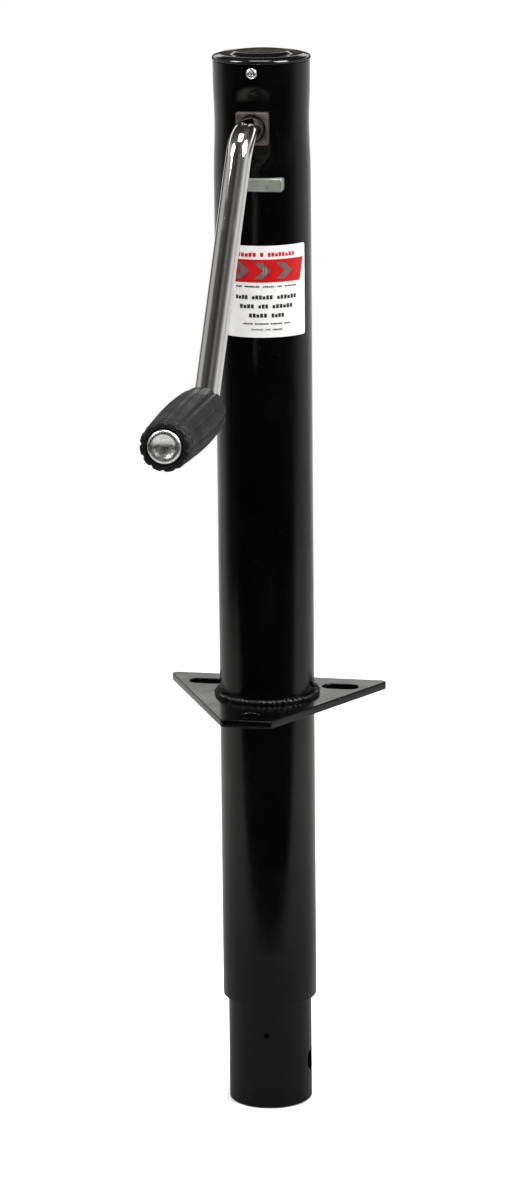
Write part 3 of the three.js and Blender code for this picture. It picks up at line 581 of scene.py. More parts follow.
def outer_tube():
    top = TUBE_HIGH.z
    bottom = TUBE_LOW.z
    rounding = [(0, 0.6), (0.12, 0.3), (0.3, 0.12), (0.6, 0)]
    pads = [SHAFT_Z + 1.5 * i for i in range(-22, 22)]
    plain = [-150, -90, -30, 20, 60, 120, 180, 240, 290]
    outside = [wall_ring(bottom + rise, TUBE_RADIUS - inset) for rise, inset in rounding]
    outside += [wall_ring(z, TUBE_RADIUS) for z in plain + pads]
    outside += [wall_ring(top - 0.3, TUBE_RADIUS), wall_ring(top, TUBE_RADIUS - 0.3)]
    inside = [wall_ring(top, TUBE_BORE + 0.2), wall_ring(top - 0.2, TUBE_BORE)]
    inside += [wall_ring(z, TUBE_BORE) for z in pads[::-2] + plain[::-1]]
    inside += [wall_ring(bottom + 0.3, TUBE_BORE), wall_ring(bottom, TUBE_BORE + 0.3)]
    tube = solid("tube", *skin(outside + inside, True))
    bushing = extent("crank_bushing_front")
    bar = extent("support_bar")
    rivet = extent("cap_rivet")
    wide = bushing[1].x * 2 + 0.4
    square = plate("square", [rounded_box(wide, wide, 1)], 90, 0.1, along("Y", z=SHAFT_Z))
    section = rounded_box(bar[1].x * 2 + 0.8, bar[1].z - bar[0].z + 0.8, 1.2)
    slot = plate("slot", [section], 90, 0.1, along("Y", z=(bar[0].z + bar[1].z) / 2))
    drilled = rod(RIVET_HOLE, 0, 60, along("Y", z=(rivet[0].z + rivet[1].z) / 2))
    combine(tube, "DIFFERENCE", square, slot, drilled)
    finish(tube, "tube_shell", "housing", ENAMEL, "outer_tube", 30)


def top_cap():
    low, high = extent("top_cap")
    top = high.z
    rim = high.x
    seat = TUBE_HIGH.z + 0.2
    skirt = 25.2
    corners = [
        (0, top, 0),
        (15.8, top, 2.2),
        (18.4, top - 1.7, 1.6),
        (24.6, top - 1.3, 3),
        (rim, top - 2.6, 2.0),
        (rim, seat, 0.5),
        (skirt, seat, 0.3),
        (skirt, low.z, 0.5),
        (skirt - 1.6, low.z, 0.3),
        (skirt - 1.6, top - 4.2, 1.6),
        (0, top - 3.6, 0),
    ]
    cap = solid("cap", *lathe(filleted(corners, 6, False), 160))
    rivet = extent("cap_rivet")
    combine(cap, "DIFFERENCE", rod(RIVET_HOLE, 0, 60, along("Y", z=(rivet[0].z + rivet[1].z) / 2)))
    finish(cap, "cap", "housing", CAP_GLOSS, "top_cap", 32)


def cap_rivet():
    """A blind rivet: a domed flange with the broken mandrel sunk in its bore."""
    low, high = extent("cap_rivet")
    seat = TUBE_RADIUS + 0.3
    corners = [
        (0, seat + 0.15, 0),
        (0.75, seat + 0.15, 0.15),
        (0.9, seat + 0.75, 0.1),
        (1.05, seat + 0.55, 0.05),
        (1.15, seat + 1.3, 0.15),
        (1.9, seat + 1.42, 0.4),
        (2.9, seat + 0.95, 0.7),
        (high.x, seat + 0.05, 0.15),
        (1.9, seat, 0),
        (1.9, -high.y, 0.2),
        (0, -high.y, 0),
    ]
    rivet = solid("rivet", *lathe(filleted(corners, 4, False), 48), along("Y", z=(low.z + high.z) / 2))
    finish(settle(rivet), "rivet", "housing", ALUMINIUM, "cap_rivet", 40)


FLANGE_REAR = (68.6, 39.4, 3.3)
FLANGE_NOSE = (14.8, -65.8, 4)
BOLT_HOLE = 11.11
BOLT_SLOT_LENGTH = 22.225
BOLT_SLOT_PLACE = (41.275, 20.2)
NOSE_HOLE_Y = -52.8


def flange_plate():
    """A plate with a blunt nose in front, a bolt hole in the nose and a slot in each rear corner."""
    low, high = extent("flange_plate")
    right = [FLANGE_NOSE, FLANGE_REAR]
    left = [(-x, y, radius) for x, y, radius in reversed(right)]
    outlines = [filleted(left + right, 8), circle(0, 0, 28.8, 160), circle(0, NOSE_HOLE_Y, BOLT_HOLE / 2)]
    across, behind = BOLT_SLOT_PLACE
    for side in (-1, 1):
        outlines.append(rounded_box(BOLT_SLOT_LENGTH, BOLT_HOLE, 5.55, side * across, behind))
    place = Matrix.Translation((0, 0, (low.z + high.z) / 2 * MM))
    flange = settle(plate("flange", outlines, high.z - low.z, 0.7, place))
    finish(flange, "flange", "housing", ENAMEL, "flange_plate", 50)


def flange_weld():
    """A fillet weld laid by hand: overlapping ripples and an uneven toe."""
    low, high = extent("flange_weld")
    inner = TUBE_RADIUS + 0.12
    leg = high.x - inner - 0.35
    foot = low.z - 0.1
    ripples = 58
    rings = []
    for i in range(ripples * 8):
        angle = 2 * math.pi * i / (ripples * 8)
        phase = i / 8 + 0.35 * math.sin(3 * angle) + 0.2 * math.sin(11 * angle + 1)
        crest = abs(math.sin(math.pi * phase)) ** 0.6
        wander = 0.34 * math.sin(5 * angle + 0.6) + 0.26 * math.sin(13 * angle + 2.1)
        wander += 0.2 * math.sin(29 * angle)
        ring = [(inner, foot)]
        for step in range(11):
            turn = math.pi / 2 * step / 10
            bulge = 1 + 0.1 * math.sin(2 * turn) * (crest + 0.3)
            out = (leg + 0.5 * wander) * math.cos(turn) ** 0.9 * bulge
            rise = (leg + 0.35 * wander) * math.sin(turn) ** 0.9 * bulge * 0.98
            dip = 0.4 * (1 - crest)
            ring.append((inner + out - dip, foot + rise - dip * math.sin(turn)))
        rings.append([(r * math.cos(angle), r * math.sin(angle), z) for r, z in ring])
    weld = solid("weld", *skin(rings, True))
    finish(weld, "weld_bead", "housing", ENAMEL, "flange_weld", 70)


def support_bar():
    low, high = extent("support_bar")
    section = rounded_box(high.x - low.x, high.z - low.z, 1.6)
    place = along("Y", z=(low.z + high.z) / 2)
    bar = settle(plate("bar", [section], high.y - low.y, 0.7, place))
    combine(bar, "DIFFERENCE", rod(8.4, low.z - 1, high.z + 1, sides=64))
    finish(bar, "thrust_bar", "housing", ZINC, "support_bar", 40)


def crank_bushing(node, side, name):
    low, high = extent(node)
    section = rounded_box(high.x - low.x, high.z - low.z, 1.1)
    outlines = [section, circle(0, 0, 7.9, 64)]
    place = along("Y", y=(low.y + high.y) / 2, z=SHAFT_Z)
    block = settle(plate(name, outlines, high.y - low.y, 0.45, place))
    face = high.y if side > 0 else -low.y
    recess = rod(8.9, face - 1.2, face + 1, along("Y", z=SHAFT_Z), 64)
    if side > 0:
        recess.matrix_world = Matrix.Rotation(math.pi, 4, "Z") @ recess.matrix_world
    combine(block, "DIFFERENCE", recess)
    finish(block, name, "housing", SINTERED, node, 40)


# ---- label: a film on the tube, and its inks as thin sheets on the film ----

LABEL_LOW, LABEL_HIGH = extent("label")
LABEL_TURN = math.radians(15.5)
LABEL_WIDTH = math.radians(106) * TUBE_RADIUS
LABEL_HEIGHT = LABEL_HIGH.z - LABEL_LOW.z
LABEL_MIDDLE = (LABEL_HIGH.z + LABEL_LOW.z) / 2
FILM_RADIUS = TUBE_RADIUS + 0.09
FILM_THICK = 0.2
INK_RADIUS = FILM_RADIUS + FILM_THICK + 0.04
INK_THICK = 0.05


def wrapped(patches, radius, thickness):
    """Points and faces of flat patches bent around the tube.

    A patch is (start, end, lower, upper): across from start to end, with its lower and upper
    heights from the label's middle as functions of the distance across.
    """
    points = []
    faces = []
    for start, end, lower, upper in patches:
        columns = max(2, math.ceil((end - start) / 0.45))
        rings = []
        for i in range(columns + 1):
            across = start + (end - start) * i / columns
            turn = LABEL_TURN + across / TUBE_RADIUS
            outer = radius + thickness
            ring = []
            for r, height in ((radius, lower), (outer, lower), (outer, upper), (radius, upper)):
                ring.append((r * math.sin(turn), -r * math.cos(turn), LABEL_MIDDLE + height(across)))
            rings.append(ring)
        more_points, more_faces = skin(rings, False)
        faces += [tuple(corner + len(points) for corner in face) for face in more_faces]
        points += more_points
    return points, faces


def level(height):
    return lambda across: height


def film_edge(across):
    """Half the film's height at a distance across it: its corners are rounded."""
    radius = 1.5
    past = max(0, abs(across) - (LABEL_WIDTH / 2 - radius))
    return LABEL_HEIGHT / 2 - radius + math.sqrt(max(0, radius * radius - past * past))


def slanted(start, end, low, high, lean):
    """A parallelogram leaning to the right, as a patch."""
    shift = lean * (high - low)

    def lower(across):
        return low + max(0, (across - (end - shift)) / lean)

    def upper(across):
        return high - max(0, (start + shift - across) / lean)
    return (start, end, lower, upper)


def chevron(tip, low, high, width, arm):
    """Two slanted strokes that meet in a point on the right."""
    middle = (low + high) / 2

    def outer(across):
        return (tip - across) * (high - middle) / width

    def stroke(sign):
        def near(across):
            return middle + sign * max(0, outer(across + arm))

        def far(across):
            return middle + sign * min(outer(across), high - middle)
        lower, upper = (near, far) if sign > 0 else (far, near)
        return (tip - width - arm, tip, lower, upper)
    return [stroke(1), stroke(-1)]


def words(lengths, gap, low, high):
    """A centred row of small upright ticks in groups, which stands for a printed line."""
    tick = 0.62 * (high - low) + 0.25
    start = -(sum(lengths) + gap * (len(lengths) - 1)) / 2
    patches = []
    for length in lengths:
        count = max(1, round(length / (tick * 1.28)))
        pitch = length / count
        for i in range(count):
            drop = 0.22 * (high - low) * ((i * 5 + count) % 3 == 0)
            left = start + i * pitch
            patches.append((left, left + 0.76 * pitch, level(low), level(high - drop)))
        start += length + gap
    return patches


def label():
    edge = LABEL_WIDTH / 2 - 1e-3
    film = (-edge, edge, lambda across: -film_edge(across), film_edge)
    sheet = solid("film", *wrapped([film], FILM_RADIUS, FILM_THICK))
    finish(sheet, "label_sheet", "housing", FILM, "label")
    top = LABEL_HEIGHT / 2
    red = words([12, 2.4, 17], 2.0, top - 6.4, top - 4.0)
    red.append(slanted(-24.2, 24.6, top - 21.6, top - 8.0, 0.22))
    black = words([4, 9, 7, 3, 8], 1.6, top - 24.6, top - 23.6)
    black += words([8, 12.5, 13], 2.2, top - 31.6, top - 29.2)
    black += words([9, 6, 13], 2.2, top - 37.0, top - 34.6)
    black += words([11, 8], 2.2, top - 42.4, top - 40.0)
    black += words([6, 8, 7, 4], 1.2, top - 46.6, top - 45.7)
    black += words([7, 3, 6], 1.2, top - 50.0, top - 49.2)
    grey = []
    for tip in (-10.5, 2.5, 15.5):
        grey += chevron(tip, top - 19.6, top - 10.0, 5.2, 4.6)
    for name, patches, radius, ink in (
        ("label_red", red, INK_RADIUS, RED_INK),
        ("label_black", black, INK_RADIUS, BLACK_INK),
        ("label_grey", grey, INK_RADIUS + INK_THICK + 0.04, GREY_INK),
    ):
        printed = solid(name, *wrapped(patches, radius, INK_THICK))
        finish(printed, name, "housing", ink, None)


# ---- crank ----

def bent_path(corners, bend_steps):
    """Stations (centre, along) on a path in the YZ plane whose corners are bent to their radii."""
    stations = []
    for i, (y, z, radius) in enumerate(corners):
        here = Vector((y, z))
        if radius == 0:
            other = Vector(corners[1 if i == 0 else i - 1][:2])
            direction = (other - here) if i == 0 else (here - other)
            stations.append((here, direction.normalized(), 0))
            continue
        into = (here - Vector(corners[i - 1][:2])).normalized()
        out = (Vector(corners[i + 1][:2]) - here).normalized()
        turn = math.atan2(into.cross(out), into.dot(out))
        side = math.copysign(1, turn)
        start = here - into * (radius * math.tan(abs(turn) / 2))
        centre = start + Vector((-into.y, into.x)) * side * radius
        for step in range(bend_steps + 1):
            heading = Matrix.Rotation(turn * step / bend_steps, 2) @ into
            spoke = Vector((heading.y, -heading.x)) * side * radius
            squeeze = math.sin(math.pi * step / bend_steps)
            stations.append((centre + spoke, heading, squeeze))
    return stations


def crank_rod():
    """One bent round bar. Its bends are slightly flattened, and its ends chamfered."""
    rear = extent("crank_rod")[1].y
    corners = [(rear, 0, 0), (-59, 0, 18), (-106, -ARM_DROP, 12), (-212, -ARM_DROP, 0)]
    stations = bent_path(corners, 20)
    sides = 64
    rings = []

    def ring(centre, heading, radius, flat):
        points = []
        for j in range(sides):
            angle = 2 * math.pi * j / sides
            across = radius * (1 - 0.05 * flat) * math.sin(angle)
            points.append((
                radius * (1 + 0.02 * flat) * math.cos(angle),
                centre.x - heading.y * across,
                centre.y + heading.x * across,
            ))
        return points

    first, heading, _ = stations[0]
    rings.append(ring(first, heading, ROD_RADIUS - 0.7, 0))
    rings.append(ring(first + heading * 0.7, heading, ROD_RADIUS, 0))
    rings += [ring(centre, direction, ROD_RADIUS, flat) for centre, direction, flat in stations[1:-1]]
    last, heading, _ = stations[-1]
    rings.append(ring(last - heading * 0.7, heading, ROD_RADIUS, 0))
    rings.append(ring(last, heading, ROD_RADIUS - 0.7, 0))
    bent = solid("rod", *skin(rings, False))
    combine(bent, "DIFFERENCE", cross_hole(PINION_PIN_HOLE, y=PINION_PIN_REACH))
    bent.matrix_world = CRANK_PLACE
    finish(bent, "crank_bar", "crank", CHROME, "crank_rod")


def smooth_profile(knots, steps):
    """A Catmull-Rom curve through (position, radius) knots."""
    padded = [knots[0], *knots, knots[-1]]
    curve = []
    for a, b, c, d in zip(padded, padded[1:], padded[2:], padded[3:]):
        a, b, c, d = Vector(a), Vector(b), Vector(c), Vector(d)
        for step in range(steps):
            t = step / steps
            bend = (2 * a - 5 * b + 4 * c - d) * t * t + (3 * b - a - 3 * c + d) * t ** 3
            curve.append(0.5 * (2 * b + (c - a) * t + bend))
    curve.append(Vector(knots[-1]))
    return curve


def grip():
    """A barrel grip: broad flutes with narrow valleys, a ring groove and a dished end."""
    knots = [(118, 14.3), (130, 15.1), (152, 15.6), (174, 15.3), (196, 14.5), (206.4, 14.05)]
    body = smooth_profile(knots, 8)
    profile = [(116, 12.2, 0), (116.3, 13.2, 0.2), (117, 13.9, 0.6)]
    profile += [(out, radius, 1) for out, radius in body]
    profile += [(206.9, 13.5, 0.8), (207.5, 13.2, 0.6), (208.1, 13.5, 0.8), (208.6, 14.0, 1)]
    profile += [(211.5, 13.95, 1), (213.0, 13.7, 1), (213.7, 13.2, 0.9), (214, 12.5, 0.6)]
    profile += [(213.9, 11.6, 0.1), (213.6, 10.9, 0), (213.1, 10.45, 0), (212.4, 10.3, 0)]
    profile += [(209.6, 10.3, 0), (209.6, 7.95, 0), (116, 7.95, 0)]
    sides = 16 * GRIP_LOBES
    rings = []
    for out, radius, fluted in profile:
        ring = []
        for j in range(sides):
            angle = 2 * math.pi * j / sides
            valley = (0.5 + 0.5 * math.cos(GRIP_LOBES * angle)) ** 5
            lobed = radius + fluted * GRIP_LOBE_HEIGHT * (1 - 2 * valley)
            ring.append((lobed * math.sin(angle), -out, lobed * math.cos(angle) - ARM_DROP))
        rings.append(ring)
    barrel = solid("grip_body", *skin(rings, True), CRANK_PLACE)
    finish(barrel, "grip_barrel", "grip_sleeve", PLASTIC, "grip", 50)


def grip_cap():
    """A pressed bright metal cap: a turned-in skirt and a rounded rim about a dished middle."""
    floor = 212.3
    rim = 210
    dish = 11.3
    corners = [
        (0, floor, 0),
        (7.7, floor, 0.3),
        (7.7, rim, 0),
        (9.9, rim, 0.2),
        (9.9, floor + 3, 2.1),
        (7.4, floor + 3.12, 0.7),
        (6.4, floor + 2.8, 0),
    ]
    profile = filleted(corners, 8, False)
    for step in range(1, 15):
        radius = 6.4 * (1 - step / 14)
        profile.append(Vector((radius, floor + 0.82 + dish - math.sqrt(dish * dish - radius * radius))))
    place = CRANK_PLACE @ along("Y", z=-ARM_DROP)
    cap = solid("grip_end", *lathe(profile, 96), place)
    finish(cap, "grip_end_cap", "crank", ALUMINIUM, "grip_cap", 60)


# ---- ram ----

def inner_tube():
    bottom = RAM_LOW.z
    top = RAM_HIGH.z
    corners = [
        (RAM_BORE, bottom, 0.4),
        (RAM_RADIUS, bottom, 0.6),
        (RAM_RADIUS, top, 0.5),
        (RAM_BORE, top, 0.4),
    ]
    tube = solid("ram", *lathe(filleted(corners, 4), TUBE_SIDES, True))
    pin_z = (extent("nut_pin_left")[0].z + extent("nut_pin_left")[1].z) / 2
    spot = Matrix.Rotation(PAINT_HOLE_TURN, 4, "Z") @ along("Y", z=PAINT_HOLE_Z)
    combine(
        tube,
        "DIFFERENCE",
        rod(FOOT_PIN_RADIUS, -60, 60, along("X", z=FOOT_PIN_Z), 64),
        rod(NUT_PIN_HOLE, -60, 60, along("X", z=pin_z), 32),
        rod(PAINT_HOLE_RADIUS, 0, 60, spot, 32),
    )
    finish(tube, "ram_tube", "ram", ENAMEL, "inner_tube")


def threaded_core(root, crest, base_half, crest_half, low, high):
    """Points and faces of a right-hand trapezoidal thread that runs past low and high."""
    turns_below = math.ceil((THREAD_TOP - low) / LEAD) + 1
    turns = turns_below + math.ceil((high - THREAD_TOP) / LEAD) + 2
    last = turns * THREAD_STEPS
    start = THREAD_TOP - turns_below * LEAD
    ease = 0.25
    section = [
        (root, -base_half),
        (crest - ease, -crest_half - 0.04),
        (crest, -crest_half + ease),
        (crest, crest_half - ease),
        (crest - ease, crest_half + 0.04),
        (root, base_half),
    ]
    width = len(section)
    points = []
    for i in range(last + 1):
        angle = 2 * math.pi * i / THREAD_STEPS
        climb = start + LEAD * i / THREAD_STEPS
        for radius, offset in section:
            points.append((radius * math.cos(angle), radius * math.sin(angle), climb + offset))
    faces = []
    for i in range(last):
        here = i * width
        after = here + width
        for k in range(width - 1):
            faces.append((here + k, after + k, after + k + 1, here + k + 1))
        if i + THREAD_STEPS < last:
            above = (i + THREAD_STEPS) * width
            faces.append((here + width - 1, after + width - 1, above + width, above))
    low_tip = len(points)
    points.append((0, 0, start - base_half - 2))
    high_tip = len(points)
    points.append((0, 0, start + turns * LEAD + base_half + 2))
    for i in range(THREAD_STEPS):
        top = last - THREAD_STEPS + i
        faces.append(((i + 1) * width, i * width, low_tip))
        faces.append((top * width + width - 1, (top + 1) * width + width - 1, high_tip))
    low_loop = [THREAD_STEPS * width, *reversed(range(width))]
    high_loop = [last * width + k for k in reversed(range(width))]
    high_loop.append((last - THREAD_STEPS) * width + width - 1)
    for k in range(width):
        faces.append((low_loop[k + 1], low_loop[k], low_tip))
        faces.append((high_loop[k], high_loop[k + 1], high_tip))
    return points, faces


def lead_screw():
    low, high = extent("lead_screw")
    collar = extent("race_lower")[0].z - 0.3
    core = solid("core", *threaded_core(THREAD_ROOT, THREAD_CREST, 2.1, 1.3, THREAD_BOTTOM, THREAD_TOP))
    trim = rod(16, THREAD_BOTTOM, THREAD_TOP)
    combine(core, "INTERSECT", trim)
    head = filleted([
        (0, THREAD_TOP - 1, 0),
        (7, THREAD_TOP - 1, 0),
        (11.8, THREAD_TOP, 0.3),
        (11.8, collar, 0.4),
        (7.9, collar, 0.3),
        (7.9, 325, 0.3),
        (7, 325, 0.2),
        (7, high.z, 0.8),
        (0, high.z, 0),
    ], 3, False)
    pilot_end = THREAD_BOTTOM + 1
    pilot = filleted([(0, low.z, 0), (7.6, low.z, 0.8), (7.6, pilot_end, 0), (0, pilot_end, 0)], 3, False)
    combine(core, "UNION", solid("head", *lathe(head, 64)), solid("pilot", *lathe(pilot, 64)))
    combine(
        core,
        "DIFFERENCE",
        cross_hole(WHEEL_PIN_HOLE, z=WHEEL_PIN_Z),
        cross_hole(STOP_PIN_HOLE, z=STOP_PIN_Z),
    )
    finish(core, "lead_screw_fine", "screw", ROLLED, "lead_screw", 30)


def lead_nut():
    low, high = extent("lead_nut")
    corners = [(0, low.z, 0), (high.x, low.z, 0.8), (high.x, high.z, 0.8), (0, high.z, 0)]
    body = solid("nut", *lathe(filleted(corners, 3, False), 96))
    pin_z = (low.z + high.z) / 2
    combine(
        body,
        "DIFFERENCE",
        solid("core", *threaded_core(THREAD_ROOT + 0.85, THREAD_CREST + 1.1, 2.5, 1.7, low.z, high.z)),
        rod(NUT_PIN_HOLE, 16.7, 60, along("X", z=pin_z), 32),
        rod(NUT_PIN_HOLE, -60, -16.7, along("X", z=pin_z), 32),
    )
    finish(body, "lead_nut_fine", "ram", IRON, "lead_nut", 40)


# ---- small turned pieces ----

def cross_pin(node, name, body, chamfer=0.4, place=UP):
    """A straight pin along X, in the place of its CAD node; place carries the crank's own turn."""
    low, high = extent(node)
    middle = (low + high) / 2
    radius = (high.y - low.y) / 2
    half = (high.x - low.x) / 2
    if place != UP:
        middle = place.inverted() @ (middle * MM) / MM
        half = 9.8
    pin = rod(radius, middle.x - half, middle.x + half, along("X", y=middle.y, z=middle.z), 40, chamfer)
    settle(pin)
    pin.matrix_world = place
    finish(pin, name, body, GROUND, node, 40)


def washer(node, name, body, bore, material):
    low, high = extent(node)
    corners = [(bore, low.z, 0.2), (high.x, low.z, 0.5), (high.x, high.z, 0.5), (bore, high.z, 0.2)]
    ring = solid(name, *lathe(filleted(corners, 3), 96, True))
    finish(ring, name, body, material, node)


def race(node, name, body, face, back):
    """A thrust race with a round ball groove in its face."""
    turn = math.copysign(1, back - face)
    groove = []
    for step in range(9):
        angle = math.pi * step / 8
        groove.append((11.7 - 1.5 * math.cos(angle), face + turn * 0.5 * math.sin(angle), 0))
    corners = [(8.4, face, 0.2), *groove, (15.4, face, 0.3), (15.4, back, 0.3), (8.4, back, 0.2)]
    ring = solid(name, *lathe(filleted(corners, 3), 96, True))
    finish(ring, name, body, GROUND, node, 40)


def thrust_bearing():
    face_up = extent("race_upper")
    face_down = extent("race_lower")
    race("race_upper", "upper_race", "housing", face_up[0].z, face_up[1].z)
    race("race_lower", "lower_race", "screw", face_down[1].z, face_down[0].z)
    low, high = extent("ball_cage")
    corners = [(9.4, low.z, 0.2), (14.2, low.z, 0.2), (14.2, high.z, 0.2), (9.4, high.z, 0.2)]
    cage = solid("cage", *lathe(filleted(corners, 2), 96, True))
    pockets = []
    for i in range(1, 9):
        ball_low, ball_high = extent(f"ball_{i}")
        middle = (ball_low + ball_high) / 2
        radius = (ball_high.z - ball_low.z) / 2
        turns = [math.pi * k / 16 for k in range(1, 16)]
        arc = [(radius * math.sin(turn), -radius * math.cos(turn)) for turn in turns]
        ball = solid("ball", *lathe([(0, -radius), *arc, (0, radius)], 32))
        ball.data.transform(Matrix.Translation(middle * MM))
        finish(ball, f"bearing_ball_{i}", "bearing", GROUND, f"ball_{i}", 60)
        place = Matrix.Translation((middle.x * MM, middle.y * MM, 0))
        pockets.append(rod(radius + 0.2, low.z - 1, high.z + 1, place, 24))
    combine(cage, "DIFFERENCE", *pockets)
    finish(cage, "bearing_cage", "bearing", ZINC, "ball_cage")


# ---- bevel gears ----

GEAR_MODULE = 2.4
GEAR_SCALES = (0.7, 0.72, 0.85, 0.985, 1)


def bevel_gear(teeth, pitch, other, turn, bore, back):
    """Points and faces of a straight bevel gear about +Z, with its cone tip at the origin."""
    slope = math.atan2(pitch, other)
    rise = Vector((math.cos(slope), -math.sin(slope)))
    addendum = 0.8 * GEAR_MODULE
    dedendum = 1.2 * GEAR_MODULE
    half = math.pi * pitch / teeth / 2 - 0.325
    lean = math.tan(math.radians(22))
    side = [(-dedendum, 0.92), (-dedendum * 0.8, 1), (-dedendum * 0.3, 1)]
    side += [(addendum * 0.3, 1.01), (addendum * 0.85, 1), (addendum, 0.8)]
    tooth = [(height, -share * (half - height * lean)) for height, share in side]
    tooth += [(height, -across) for height, across in reversed(tooth)]
    rings = []
    for scale in GEAR_SCALES:
        ease = 0.12 if scale in (GEAR_SCALES[0], GEAR_SCALES[-1]) else 0
        ring = []
        for i in range(teeth):
            middle = turn + 2 * math.pi * i / teeth
            for height, across in tooth:
                point = Vector((pitch, other)) + rise * (height - ease * (height > 0))
                radius = math.hypot(point.x, across)
                angle = middle + math.atan2(across, point.x)
                place = Vector((radius * math.cos(angle), radius * math.sin(angle), point.y))
                ring.append(tuple(scale * place))
        rings.append(ring)
    angles = [math.atan2(y, x) for x, y, _ in rings[0]]

    def round_ring(radius, z):
        return [(radius * math.cos(angle), radius * math.sin(angle), z) for angle in angles]

    root = Vector((pitch, other)) - rise * dedendum
    small = [round_ring(bore, root.y * 0.7 + 0.3), round_ring(bore + 0.3, root.y * 0.7)]
    small.append(round_ring(root.x * 0.7 - 0.4, root.y * 0.7))
    return skin(small + rings + [round_ring(radius, z) for radius, z in back], True)


def gears():
    hub_end = SHAFT_Z - 325
    back = [(17.2, 18.2), (16.6, 18.8), (12.2, 18.9), (12, 19.2)]
    back += [(12, hub_end - 0.5), (11.5, hub_end), (7.8, hub_end), (7.3, hub_end - 0.5)]
    wheel = solid("wheel", *bevel_gear(16, 19.2, 14.4, -math.pi / 2, 7.3, back))
    wheel.matrix_world = Matrix.Translation((0, 0, SHAFT_Z * MM)) @ Matrix.Rotation(math.pi, 4, "X")
    settle(wheel)
    combine(wheel, "DIFFERENCE", cross_hole(WHEEL_PIN_HOLE, z=WHEEL_PIN_Z))
    finish(wheel, "bevel_wheel", "screw", SINTERED, "screw_gear", 30)
    turn = math.pi / 2 + math.pi / 12 - CRANK_REST_TURN
    back = [(10.5, 21.0), (10.5, 21.8), (10, 22.3), (8.3, 22.3), (7.8, 21.8)]
    pinion = solid("pinion", *bevel_gear(12, 14.4, 19.2, turn, 7.8, back))
    pinion.matrix_world = Matrix.Rotation(-math.pi / 2, 4, "X")
    settle(pinion)
    combine(pinion, "DIFFERENCE", cross_hole(PINION_PIN_HOLE, y=PINION_PIN_REACH))
    pinion.matrix_world = CRANK_PLACE
    finish(pinion, "bevel_pinion", "crank", SINTERED, "pinion_gear", 30)


# ---- studio ----

CAMERA_AZIMUTH = math.radians(11.45)


def floor():
    """A plain pale table top under the jack. Its colour in reflections is painted shade: darker than it
    looks, and darkest near the jack.
    """
    thick = 30
    top = CAD_BOUNDS[0].z / MM - 0.5
    outline = filleted([(-1200, -350, 120), (1700, -350, 120), (1700, 1300, 200), (-1200, 1300, 200)], 8)
    turned = Matrix.Rotation(CAMERA_AZIMUTH, 4, "Z")
    table = plate("table", [outline], thick, 4, Matrix.Translation((0, 0, (top - thick / 2) * MM)) @ turned)
    pale = Finish("pale_floor")
    tone = pale.ramp(pale.noise(3, 3), (0.3, (0.86, 0.86, 0.855)), (0.7, (0.9, 0.9, 0.895)))
    # painted shade for reflections: dark close to the jack, lighter further out
    reach = pale.node("ShaderNodeVectorMath", Vector=pale.place)
    reach.operation = "LENGTH"
    shade = pale.ramp(
        reach.outputs["Value"],
        (0.1, (0.16, 0.16, 0.16)),
        (0.35, (0.22, 0.22, 0.22)),
        (0.7, (0.42, 0.42, 0.41)),
    )
    # mirror rays see the painted shade, every other ray sees the pale tone
    mirrored = pale.node("ShaderNodeLightPath").outputs["Is Glossy Ray"]
    pale.colour(pale.mixed(mirrored, tone, shade))
    pale.roughness(pale.spread(pale.noise(20, 3), 0.3, 0.7, 0.7, 0.85))
    table.data.materials.append(pale.material)


def soft_light(name, azimuth, elevation, distance, size, power, mirrored=True):
    """A soft light that looks at the jack's middle. Azimuth 0 is in front, 90 on the right."""
    data = bpy.data.lights.new(name, "AREA")
    data.shape = "RECTANGLE"
    data.size, data.size_y = size
    data.energy = power
    turn, tip = math.radians(azimuth), math.radians(elevation)
    away = Vector((math.sin(turn) * math.cos(tip), -math.cos(turn) * math.cos(tip), math.sin(tip)))
    lamp = bpy.data.objects.new(name, data)
    lamp.location = Vector((0, 0, 0.1)) + away * distance
    lamp.rotation_euler = away.to_track_quat("Z", "Y").to_euler()
    lamp.visible_camera = False
    lamp.visible_glossy = mirrored
    bpy.context.scene.collection.objects.link(lamp)


